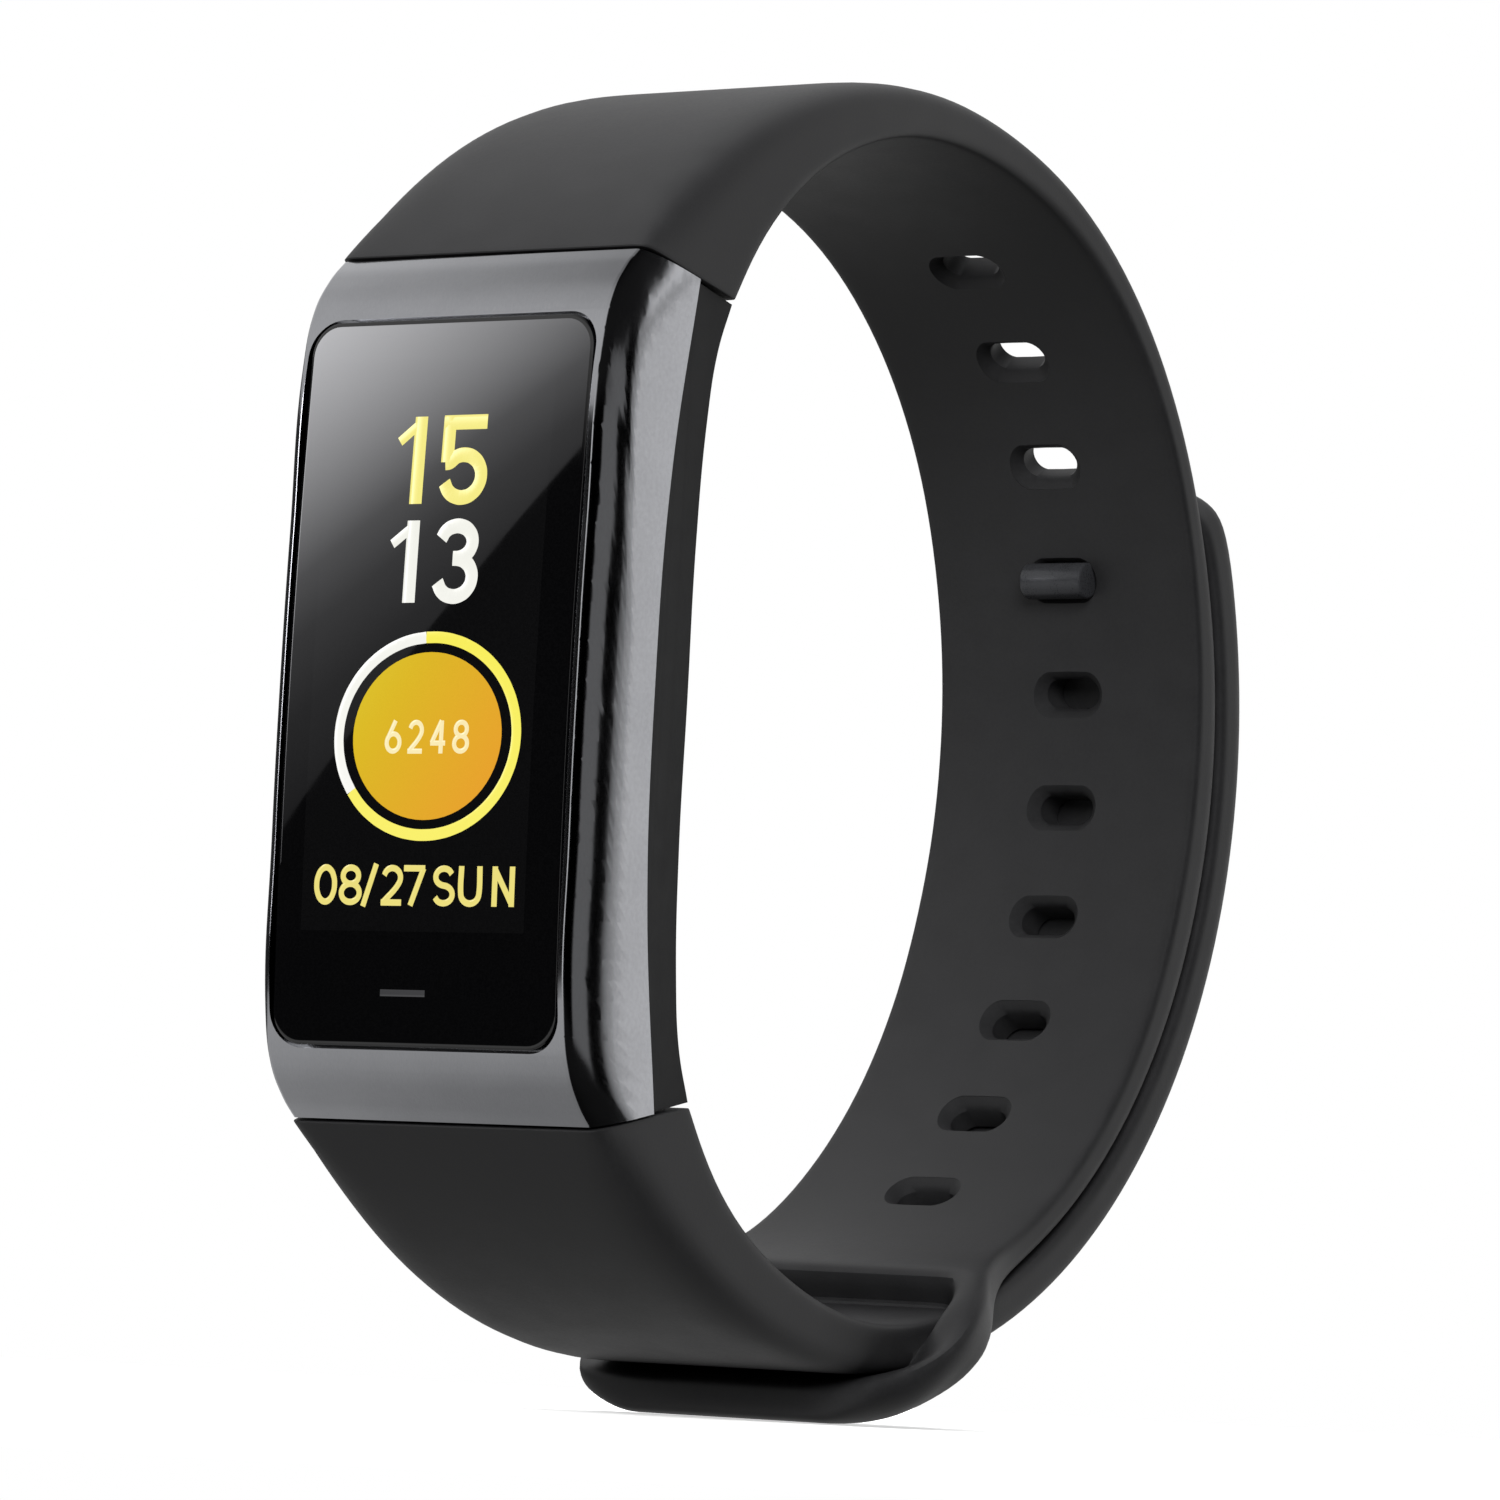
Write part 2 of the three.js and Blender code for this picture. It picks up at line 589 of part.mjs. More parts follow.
function buildStraps() {
  piece('upper_strap', upperStrap(), silicone());
  piece('lower_strap', lowerStrap(), silicone());
  piece('strap_tip', strapTip(), silicone());
  piece('clasp_stud', claspStud(), finish(0x3a3b3d, 0.3, 0.6));
  piece('stud_cap', placeOnRing(rod(2.8, -0.7, 0.2, 0, 0, 28), studAngle, tailOuterRadius),
    finish(0x3a3b3d, 0.3, 0.6));
  for (const [name, side] of [['upper', 1], ['lower', -1]]) {
    const screwHoles = [-anchorScrewX, anchorScrewX].map((x) =>
      rod(0.8, 6, 8, x, side * anchorScrewZ, 12),
    );
    const plate = slab(5.8, 1.0, 0.2, 6.7, 7.05, 0, side * anchorScrewZ);
    piece(`${name}_anchor_plate`, cut(plate, ...screwHoles), steel());
    for (const [hand, x] of [['left', -anchorScrewX], ['right', anchorScrewX]]) {
      const z = side * anchorScrewZ;
      const screw = join(rod(0.95, 7.1, 7.6, x, z, 14), rod(0.5, 3.2, 7.2, x, z, 12));
      piece(`${name}_anchor_screw_${hand}`, screw, steel());
    }
  }
}

buildShell();
buildInside();
buildStraps();

const model = new THREE.Group();
model.add(band);
export default model;
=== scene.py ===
# Looks of the fitness tracker band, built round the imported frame. Pieces are modelled in
# millimetres, with y = 0 at the front of the glass, and settled into the frame in metres.
import math

import bmesh
import bpy
from mathutils import Matrix, Vector


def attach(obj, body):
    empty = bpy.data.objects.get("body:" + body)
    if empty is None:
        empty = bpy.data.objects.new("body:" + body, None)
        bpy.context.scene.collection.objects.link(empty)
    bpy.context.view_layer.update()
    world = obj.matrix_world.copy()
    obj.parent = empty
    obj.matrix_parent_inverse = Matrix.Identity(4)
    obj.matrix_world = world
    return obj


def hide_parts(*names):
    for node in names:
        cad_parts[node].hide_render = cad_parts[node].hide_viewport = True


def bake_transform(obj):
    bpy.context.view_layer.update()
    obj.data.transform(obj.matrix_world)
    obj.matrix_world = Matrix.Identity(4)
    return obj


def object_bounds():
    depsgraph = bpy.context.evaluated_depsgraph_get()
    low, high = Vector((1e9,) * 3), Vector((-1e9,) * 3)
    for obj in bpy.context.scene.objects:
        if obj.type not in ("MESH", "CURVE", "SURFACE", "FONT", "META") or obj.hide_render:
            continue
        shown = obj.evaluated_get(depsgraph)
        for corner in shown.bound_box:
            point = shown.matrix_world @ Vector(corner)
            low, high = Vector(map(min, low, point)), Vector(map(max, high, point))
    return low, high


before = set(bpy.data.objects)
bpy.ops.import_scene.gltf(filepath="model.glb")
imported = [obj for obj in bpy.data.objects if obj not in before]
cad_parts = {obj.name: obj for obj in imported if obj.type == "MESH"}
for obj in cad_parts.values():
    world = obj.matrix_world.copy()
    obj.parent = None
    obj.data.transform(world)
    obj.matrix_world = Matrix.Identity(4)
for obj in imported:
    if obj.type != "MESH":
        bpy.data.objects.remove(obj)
cad_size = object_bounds()

MM = 0.001
MODULE_DEPTH = 10.0  # front of the glass to the skin side of the sensor window
RING_Y, RING_Z = 29.7, 1.8  # middle of the ring that the closed band makes
FLAT_RADIUS = 33.2  # the straps are modelled flat, and bent round the ring at this radius
TAIL_OUTER = 35.9
TAIL_INNER = 33.5
HOLE_ANGLES = [55.6 - 12.2 * i for i in range(10)]
STUD_ANGLE = HOLE_ANGLES[3]
HALF_AT_MODULE, HALF_BEHIND = 10.1, 8.85  # half the strap's width, beside the module and behind
CROWN_RADIUS = 340.0  # the glass is bowed along its length at this radius
GLASS_FRONT = 0.04


# ---- modelling helpers ----
def pick_only(obj):
    bpy.ops.object.select_all(action="DESELECT")
    obj.select_set(True)
    bpy.context.view_layer.objects.active = obj
    return obj


def open_mesh(obj, mode="VERT"):
    pick_only(obj)
    bpy.ops.object.mode_set(mode="EDIT")
    bpy.ops.mesh.select_mode(type=mode)
    bpy.ops.mesh.select_all(action="DESELECT")


def close_mesh():
    bpy.ops.object.mode_set(mode="OBJECT")


def choose(test):
    """Selects the corners of the open mesh whose place passes the test."""
    shape = bmesh.from_edit_mesh(bpy.context.object.data)
    for corner in shape.verts:
        corner.select = bool(test(corner.co))
    shape.select_flush_mode()
    bmesh.update_edit_mesh(bpy.context.object.data)


def choose_faces(test):
    shape = bmesh.from_edit_mesh(bpy.context.object.data)
    bpy.ops.mesh.select_mode(type="FACE")
    for face in shape.faces:
        face.select = bool(test(face.calc_center_median(), face.normal))
    shape.select_flush_mode()
    bmesh.update_edit_mesh(bpy.context.object.data)


def choose_edges(test):
    shape = bmesh.from_edit_mesh(bpy.context.object.data)
    bpy.ops.mesh.select_mode(type="EDGE")
    for edge in shape.edges:
        edge.select = bool(test(edge.verts[0].co, edge.verts[1].co))
    shape.select_flush_mode()
    bmesh.update_edit_mesh(bpy.context.object.data)


def move(x=0.0, y=0.0, z=0.0):
    bpy.ops.transform.translate(value=(x, y, z))


def stretch(x=1.0, y=1.0, z=1.0, about=(0, 0, 0)):
    bpy.ops.transform.resize(value=(x, y, z), center_override=about)


def even(first, last, count):
    return [first + (last - first) * i / (count - 1) for i in range(count)]


def cut_rows(first, last, count):
    """Cuts the open mesh across at even heights."""
    for z in even(first, last, count):
        bpy.ops.mesh.select_all(action="SELECT")
        bpy.ops.mesh.bisect(plane_co=(0, 0, z), plane_no=(0, 0, 1))


def finish_with(obj, kind, **settings):
    pick_only(obj)
    step = obj.modifiers.new(kind.title(), kind)
    for key, value in settings.items():
        setattr(step, key, value)
    bpy.ops.object.modifier_apply(modifier=step.name)
    return obj


def combine(obj, tool, how, keep=False):
    finish_with(obj, "BOOLEAN", object=tool, operation=how, solver="EXACT")
    if not keep:
        bpy.data.objects.remove(tool)
    return obj


def apply_place(obj):
    pick_only(obj)
    bpy.ops.object.transform_apply(location=True, rotation=True, scale=True)
    return obj


def box(x, y, z, sizes, rounding=0.0, segments=3):
    """A block with its middle at x, y, z, its edges rounded."""
    bpy.ops.object.select_all(action="DESELECT")
    bpy.ops.mesh.primitive_cube_add(size=1, location=(x, y, z))
    obj = bpy.context.object
    obj.scale = sizes
    apply_place(obj)
    if rounding:
        finish_with(obj, "BEVEL", width=rounding, segments=segments)
    return obj


def disc(x, y_front, y_back, z, radius, sides=48):
    """A round plug lying along the depth of the module."""
    bpy.ops.object.select_all(action="DESELECT")
    bpy.ops.mesh.primitive_cylinder_add(
        vertices=sides, radius=radius, depth=y_back - y_front,
        location=(x, (y_front + y_back) / 2, z), rotation=(math.pi / 2, 0, 0))
    return apply_place(bpy.context.object)


WAYS = {"side": (math.pi / 2, 0, math.pi / 2), "front": (math.pi / 2, 0, 0), "plan": (0, 0, 0)}


def profile(points, reach, way, place=(0, 0, 0), fine=10):
    """A drawn outline given thickness. A point is (u, v), or (u, v, 1) for a sharp corner."""
    bpy.ops.object.select_all(action="DESELECT")
    bpy.ops.curve.primitive_bezier_circle_add(location=(0, 0, 0))
    obj = bpy.context.object
    drawing = obj.data
    drawing.dimensions = "2D"
    drawing.fill_mode = "BOTH"
    drawing.resolution_u = fine
    drawing.extrude = reach
    line = drawing.splines[0]
    line.bezier_points.add(len(points) - len(line.bezier_points))
    for spot, point in zip(line.bezier_points, points):
        kind = "VECTOR" if len(point) > 2 else "AUTO"
        spot.handle_left_type = spot.handle_right_type = kind
        spot.co = (point[0], point[1], 0)
    line.use_cyclic_u = True
    bpy.ops.object.convert(target="MESH")
    obj.rotation_euler = WAYS[way]
    obj.location = place
    apply_place(obj)
    open_mesh(obj)
    bpy.ops.mesh.select_all(action="SELECT")
    bpy.ops.mesh.remove_doubles(threshold=0.0005)
    bpy.ops.mesh.normals_make_consistent(inside=False)
    close_mesh()
    return obj


def settle(obj, name, smooth=32, mend=True):
    """Puts a finished piece into the frame, in metres, with its object at the origin."""
    apply_place(obj)
    obj.name = obj.data.name = name
    open_mesh(obj)
    bpy.ops.mesh.select_all(action="SELECT")
    if mend:
        bpy.ops.mesh.remove_doubles(threshold=0.0005)
        bpy.ops.mesh.normals_make_consistent(inside=False)
    move(y=-MODULE_DEPTH)
    stretch(MM, MM, MM)
    close_mesh()
    pick_only(obj)
    bpy.ops.object.shade_smooth_by_angle(angle=math.radians(smooth))
    return obj


def bend_to(obj, radius, outward):
    """Bends a piece that lies along z: to the crown of the glass, or outward round the ring."""
    along = [corner.co.z for corner in obj.data.vertices]
    turn = (max(along) - min(along)) / radius
    return finish_with(obj, "SIMPLE_DEFORM", deform_method="BEND", deform_axis="X",
                       angle=-turn if outward else turn)


def onto_ring(obj):
    bend_to(obj, FLAT_RADIUS, outward=True)
    open_mesh(obj)
    bpy.ops.mesh.select_all(action="SELECT")
    move(y=RING_Y + FLAT_RADIUS, z=RING_Z)
    close_mesh()
    return obj


def round_the_ring(angle):
    """The place along a flat strap, in millimetres, of an angle on the ring."""
    return math.radians(angle) * FLAT_RADIUS


def read_line(line, angle):
    """The radius that a strap line, given as rising or falling [angle, radius], has at an angle."""
    spots = sorted(line)
    if angle <= spots[0][0]:
        return spots[0][1]
    for (a0, r0), (a1, r1) in zip(spots, spots[1:]):
        if angle <= a1:
            t = (angle - a0) / (a1 - a0)
            return r0 + (r1 - r0) * t
    return spots[-1][1]


def strap_half_width(angle, radius):
    y = RING_Y + radius * math.cos(math.radians(angle))
    t = min(1, max(0, (y - 8) / 36))
    return HALF_AT_MODULE + (HALF_BEHIND - HALF_AT_MODULE) * t * t * (3 - 2 * t)


# ---- straps ----
ROWS, COLUMNS = 4, 6
SHOULDER_DEEP = 3.4  # how far down its sides a strap is rounded beside the module


def station(outer_angle, outer_radius, inner_angle, inner_radius, outer_round, inner_round,
            half=None, top_half=None, columns=None, centre=None, deep=0, bulge=0):
    """One cross-section of a flat strap. The centre, where it differs, is the outer and inner radius
    between the second and fifth columns; the outer edge is rounded at least so deep; the bulge
    swings the middle of the section so many degrees."""
    half = half or strap_half_width(outer_angle, outer_radius)
    return dict(outer=(outer_angle, outer_radius), inner=(inner_angle, inner_radius),
                rounds=(outer_round, inner_round), half=half, top_half=top_half or (half, half),
                columns=columns, centre=centre, deep=max(deep, outer_round), bulge=bulge)


def strap_block(stations):
    """A flat strap made from a block that is cut into stations, rows and columns."""
    count = len(stations)
    bpy.ops.object.select_all(action="DESELECT")
    bpy.ops.mesh.primitive_cube_add(size=1)
    obj = bpy.context.object
    open_mesh(obj, "EDGE")
    for axis, cuts in ((0, COLUMNS - 2), (1, ROWS - 2), (2, count - 2)):
        choose_edges(lambda a, b: abs((b - a)[axis]) > 0.9 * (b - a).length)
        bpy.ops.mesh.subdivide(number_cuts=cuts)
    bpy.ops.mesh.select_mode(type="VERT")
    seats = {}
    for corner in bmesh.from_edit_mesh(obj.data).verts:
        key = (round((corner.co.z + 0.5) * (count - 1)), round((corner.co.y + 0.5) * (ROWS - 1)),
               round((corner.co.x + 0.5) * (COLUMNS - 1)))
        seats[key] = corner.index

    def take(i, rows=(0, 1, 2, 3), columns=(0, 1, 2, 3, 4, 5)):
        shape = bmesh.from_edit_mesh(obj.data)
        shape.verts.ensure_lookup_table()
        for corner in shape.verts:
            corner.select = False
        found = [seats[k] for k in seats if k[0] == i and k[1] in rows and k[2] in columns]
        for number in found:
            shape.verts[number].select = True
        shape.select_flush_mode()
        return shape.verts[found[0]].co.copy() if found else None

    for i, spot in enumerate(stations):
        (outer_angle, outer_radius), (inner_angle, inner_radius) = spot["outer"], spot["inner"]
        thickness = outer_radius - inner_radius
        outer_round, inner_round = spot["rounds"]
        heights = [0, min(inner_round, 0.35 * thickness),
                   thickness - min(spot["deep"], 0.5 * thickness), thickness]
        for row in range(ROWS):
            now = take(i, rows=(row,))
            t = heights[row] / thickness
            angle = inner_angle + (outer_angle - inner_angle) * t + spot["bulge"] * 4 * t * (1 - t)
            move(y=inner_radius + heights[row] - FLAT_RADIUS - now.y, z=round_the_ring(angle) - now.z)
        half, columns = spot["half"], spot["columns"]
        second = columns[-1 if len(columns) > 2 else 0] if columns else half - outer_round
        second_inside = columns[0] if columns else half - inner_round
        third = columns[1] if columns else 0.42 * half
        for rows, pair, reach in (((0, 1), (0, 5), half), ((2,), (0, 5), spot["top_half"][0]),
                                  ((3,), (0, 5), spot["top_half"][1]),
                                  ((2, 3), (1, 4), second), ((0, 1), (1, 4), second_inside),
                                  ((0, 1, 2, 3), (2, 3), third)):
            now = take(i, rows, pair)
            if now:
                stretch(x=reach / abs(now.x))
        if spot["centre"]:
            for row, radius in ((3, spot["centre"][0]), (0, spot["centre"][1])):
                now = take(i, (row,), (1, 2, 3, 4))
                move(y=radius - FLAT_RADIUS - now.y)
    close_mesh()
    return obj


UPPER_OUTER = [[141.6, 33.6], [128, 33.45], [111, 33.26], [95, 33.26], [78, 33.5], [60, 33.95],
               [46, 33.8], [32, 33.45], [22, 33.2], [-95, 33.2]]
UPPER_INNER = [[133.8, 26.55], [130, 27.1], [121, 28.35], [111, 29.3], [95, 30.3], [78, 31.0],
               [60, 31.8], [46, 31.95], [32, 31.7], [19, 31.2], [0, 30.8], [-17, 30.75],
               [-42, 31.3], [-60, 31.6], [-75, 31.4]]
SHOULDER = [[141.6, 0.95], [138.5, 2.0], [130, 4.6], [118, 5.2], [100, 4.2], [80, 3.0], [60, 1.6],
            [30, 1.3], [-60, 1.3]]
LOOP_HALF = 12.2
WINDOW_HALF = 9.7
WINDOW_FAR, WINDOW_NEAR = -74.0, -81.5


def tongue(side):
    """The part of a strap that is clamped inside the module."""
    return box(0, ANCHOR_Y, side * 20.5, (13.0, 2.0, 5.6), 0.4)


def hole_cutter():
    """An oblong plug for the buckle holes, flared at the skin side, which stands at y = 0."""
    bpy.ops.object.select_all(action="DESELECT")
    bpy.ops.mesh.primitive_cylinder_add(vertices=32, radius=0.92, depth=4,
                                        location=(0, 2.62, 0), rotation=(math.pi / 2, 0, 0))
    obj = apply_place(bpy.context.object)
    open_mesh(obj)
    for side in (1, -1):
        choose(lambda co: co.x * side > 0.01)
        move(x=side * 0.86)
    for depth, wide, tall in ((-0.32, 1.13, 1.22), (-0.26, 1.14, 1.26), (-0.06, 1.03, 1.05)):
        lowest = min(c.co.y for c in bmesh.from_edit_mesh(obj.data).verts)
        choose_faces(lambda place, normal: place.y < lowest + 0.01 and normal.y < -0.9)
        bpy.ops.mesh.extrude_region_move(TRANSFORM_OT_translate={"value": (0, depth, 0)})
        stretch(x=wide, z=tall)
    bpy.ops.mesh.extrude_region_move(TRANSFORM_OT_translate={"value": (0, -2, 0)})
    close_mesh()
    return obj


def upper_strap():
    stations = []
    for outer_angle, inner_angle in ((141.9, 134.15), (141.75, 134.0), (139.8, 132.2)):
        stations.append(station(outer_angle, read_line(UPPER_OUTER, outer_angle), inner_angle,
                                read_line(UPPER_INNER, inner_angle),
                                read_line(SHOULDER, outer_angle), 0.35, deep=SHOULDER_DEEP,
                                bulge=0.85))
    loop_start, steps = -62, 26
    for outer_angle, inner_angle in zip(even(139.8, loop_start, steps + 1)[1:],
                                        even(132.2, loop_start, steps + 1)[1:]):
        stations.append(station(outer_angle, read_line(UPPER_OUTER, outer_angle), inner_angle,
                                read_line(UPPER_INNER, inner_angle),
                                read_line(SHOULDER, outer_angle), 0.7,
                                deep=SHOULDER_DEEP if outer_angle > 125 else 0))
    # The strap spreads into the two legs of the loop, and a bar joins their ends.
    flat, bar = (33.2, 31.35), (38.55, 36.2)
    stations += [
        station(-66.5, 33.25, -66.5, 31.5, 1.0, 0.6, 9.1, None, (7.9, 6.2), None),
        station(-70.6, 33.8, -71.0, 31.35, 1.1, 0.7, 10.0, None, (8.6, 7.0), flat),
        station(WINDOW_FAR, 34.7, -74.0, 31.3, 1.3, 0.9, 11.1, None, (8.4, 6.9), flat),
        station(-76.2, 35.6, -76.8, 31.9, 1.5, 1.1, 11.8, (11.8, 11.6), (9.5, 8.0), None),
        station(-79.0, 36.7, -79.8, 32.8, 1.6, 1.2, LOOP_HALF, (12.0, 11.2), (9.5, 8.0), None),
        station(WINDOW_NEAR, 37.7, -82.6, 33.7, 1.6, 1.3, LOOP_HALF, (11.6, 9.8), (9.2, 7.6),
                (37.5, 36.2)),
        station(-85.0, 38.6, -85.8, 34.9, 1.0, 1.3, 11.5, (10.7, 8.4), (8.2, 4.8, 6.8), bar),
        station(-88.3, 38.65, -88.6, 35.7, 0.9, 1.1, 10.4, (9.6, 7.3), (7.1, 4.2, 5.8),
                (38.65, 36.25)),
        station(-90.3, 38.5, -90.3, 36.2, 0.8, 0.8, 9.2, (8.5, 6.6), (6.4, 3.9, 5.3), (38.5, 36.6)),
    ]
    stations.reverse()
    obj = strap_block(stations)
    open_mesh(obj)
    far, near = round_the_ring(WINDOW_FAR), round_the_ring(WINDOW_NEAR)
    choose_faces(lambda place, normal: near - 0.6 < place.z < far and abs(place.x) < WINDOW_HALF
                 and abs(normal.y) > 0.4)
    bpy.ops.mesh.delete(type="FACE")
    bpy.ops.mesh.select_mode(type="EDGE")
    bpy.ops.mesh.select_non_manifold()
    bpy.ops.mesh.bridge_edge_loops(number_cuts=2)
    bpy.ops.mesh.select_all(action="SELECT")
    bpy.ops.mesh.normals_make_consistent(inside=False)
    close_mesh()
    finish_with(obj, "SUBSURF", levels=2, render_levels=2)
    plug = hole_cutter()
    for angle in HOLE_ANGLES:
        pick_only(plug)
        bpy.ops.object.duplicate()
        cutter = bpy.context.object
        cutter.location = (0, read_line(UPPER_INNER, angle) - FLAT_RADIUS, round_the_ring(angle))
        combine(obj, apply_place(cutter), "DIFFERENCE")
    bpy.data.objects.remove(plug)
    onto_ring(obj)
    return combine(obj, tongue(1), "UNION")


LOWER_INNER = [[60, TAIL_INNER], [-76, TAIL_INNER], [-88, 33.15], [-96, 32.7], [-105, 32.1],
               [-114, 31.5], [-122, 30.5], [-129.1, 29.35]]
LOWER_SHOULDER = [[-137.2, 0.95], [-134.5, 2.0], [-127, 4.6], [-114, 4.8], [-100, 3.4], [-85, 1.6],
                  [60, 1.4]]


def lower_strap():
    stations = []
    for outer_angle, inner_angle in ((-137.35, -129.25), (-137.2, -129.1), (-135.2, -127.4)):
        stations.append(station(outer_angle, TAIL_OUTER + 0.02, inner_angle,
                                read_line(LOWER_INNER, inner_angle),
                                read_line(LOWER_SHOULDER, outer_angle), 0.35,
                                deep=SHOULDER_DEEP, bulge=-0.9))
    tip_start, steps = 22.0, 23
    for outer_angle, inner_angle in zip(even(-135.2, tip_start, steps + 1)[1:],
                                        even(-127.4, tip_start, steps + 1)[1:]):
        stations.append(station(outer_angle, TAIL_OUTER, inner_angle,
                                read_line(LOWER_INNER, inner_angle),
                                read_line(LOWER_SHOULDER, outer_angle), 0.8,
                                deep=SHOULDER_DEEP if outer_angle < -120 else 0))
    for angle, outer_radius, half in ((24.2, TAIL_OUTER, 8.3), (25.7, 35.75, 7.0), (26.6, 35.4, 5.4),
                                      (27.0, 34.9, 3.9)):
        stations.append(station(angle, outer_radius, angle, TAIL_INNER + 0.02, 1.4, 0.8, half))
    obj = strap_block(stations)
    finish_with(obj, "SUBSURF", levels=2, render_levels=2)
    cap_seat = disc(0, -0.7, 3, 0, 3.05)
    cap_seat.location = (0, TAIL_OUTER - FLAT_RADIUS, round_the_ring(STUD_ANGLE))
    combine(obj, apply_place(cap_seat), "DIFFERENCE")
    onto_ring(obj)
    return combine(obj, tongue(-1), "UNION")


def on_ring(obj, angle, radius):
    """Turns a piece built about the origin to stand on the ring, and moves it there."""
    obj.rotation_euler = (math.radians(angle), 0, 0)
    obj.location = (0, RING_Y + radius * math.cos(math.radians(angle)),
                    RING_Z + radius * math.sin(math.radians(angle)))
    return apply_place(obj)


def clasp_stud():
    """The post and the barrel head across the strap."""
    bpy.ops.object.select_all(action="DESELECT")
    bpy.ops.mesh.primitive_cylinder_add(vertices=40, radius=1.04, depth=4.1,
                                        location=(0, -2.7, 0), rotation=(0, math.pi / 2, 0))
    barrel = apply_place(bpy.context.object)
    finish_with(barrel, "BEVEL", width=0.16, segments=3)
    post = box(0, -0.55, 0, (2.0, 4.0, 1.2), 0.15)
    combine(barrel, post, "UNION")
    return on_ring(barrel, STUD_ANGLE, TAIL_INNER)


def stud_cap():
    plug = disc(0, -0.68, 0.2, 0, 2.8)
    open_mesh(plug)
    choose_faces(lambda place, normal: normal.y > 0.9)
    bpy.ops.mesh.inset(thickness=0.3)
    move(y=-0.02)
    bpy.ops.mesh.inset(thickness=0.35)
    move(y=-0.12)
    close_mesh()
    finish_with(plug, "BEVEL", width=0.06, segments=2)
    return on_ring(plug, STUD_ANGLE, TAIL_OUTER)


# ---- module ----
# Outlines seen from the side as (y, z), upper half: the front of the frame, the line between the
# frame and the back cover, and the skin side of the cover.
FRONT_LINE = [(0.0, 0), (0.09, 8), (0.42, 17), (1.1, 19.7), (2.15, 21.3), (3.3, 22.4), (5.0, 23.75),
              (7.2, 25, 1), (15, 25, 1)]
COVER_LINE = [(7.84, 21.41, 1), (6.24, 11), (5.84, 0)]
SKIN_LINE = [(9.2, 0), (9.2, 8), (9.6, 14.5), (10.2, 18), (11.25, 20.65, 1)]
ANCHOR_Y = 5.6  # the strap tongues lie at this depth
WINDOW_RADIUS = 4.7
SCREW_X, SCREW_Z = 7.8, 14.5
CONTACT_X, CONTACT_Z = 2.6, -13.5


def with_lower_half(points):
    """An outline of the upper half, continued into the lower half."""
    return points + [(p[0], -p[1]) + tuple(p[2:]) for p in reversed(points) if p[1] != 0]


def module_section(half, front):
    right = [(9.4, front, 1), (9.84, front + 0.42), (10.1, front + 1.1), (10.24, front + 2.1),
             (half, front + 3.4), (half - 0.04, 5.2), (half - 0.2, 8), (half - 0.3, 13, 1)]
    left = [(-p[0], p[1]) + tuple(p[2:]) for p in reversed(right)]
    return profile(right + left, 26, "plan")


def pocket(half_width, half_length, rounding, y_front, y_back):
    blank = box(0, (y_front + y_back) / 2, 0, (2 * half_width, y_back - y_front, 2 * half_length))
    open_mesh(blank)
    choose_edges(lambda a, b: abs((b - a).y) > 0.5 * (b - a).length)
    bpy.ops.mesh.bevel(offset=rounding, segments=10)
    close_mesh()
    return blank


def cut_strap_slots(obj):
    """Opens both ends of a case piece for the strap tongues."""
    for side in (1, -1):
        combine(obj, box(0, ANCHOR_Y, side * 21.6, (13.6, 2.6, 4)), "DIFFERENCE")
    return obj


def bezel_frame():
    # The long front edges are rounded far down the side but little across, so the round is
    # cut on a widened blank, which is then narrowed again.
    widening = 3.6
    obj = profile(with_lower_half(FRONT_LINE), 10.3 * widening, "side", fine=12)
    open_mesh(obj, "EDGE")
    choose_edges(lambda a, b: abs(a.x) > 37 and a.x * b.x > 0 and max(a.y, b.y) < 7.3)
    bpy.ops.mesh.bevel(offset=3.4, segments=10, clamp_overlap=False)
    for side in (1, -1):
        bpy.ops.mesh.select_all(action="SELECT")
        bpy.ops.mesh.bisect(plane_co=(0, 0, side * 23.2), plane_no=(0, 0, side), clear_outer=True,
                            use_fill=True)
    bpy.ops.mesh.select_all(action="SELECT")
    bpy.ops.mesh.normals_make_consistent(inside=False)
    cut_rows(-22, 22, 45)
    bpy.ops.mesh.select_all(action="SELECT")
    stretch(x=1 / widening)
    choose(lambda co: co.y > 14)
    stretch(x=0.975)
    close_mesh()
    seams = [(-1, 23.33, 1), (7.7, 21.45, 1), (6.1, 11), (5.7, 0), (6.1, -11), (7.7, -21.45, 1),
             (-1, -23.33, 1)]
    combine(obj, profile(seams, 12, "side", fine=12), "INTERSECT")
    combine(obj, pocket(9.25, 18.9, 1.95, -2, 1.6), "DIFFERENCE")
    combine(obj, pocket(8.2, 17.2, 1.0, 0, 4), "DIFFERENCE")
    combine(obj, pocket(9.0, 20.3, 1.2, 2.4, 14), "DIFFERENCE")
    return cut_strap_slots(obj)


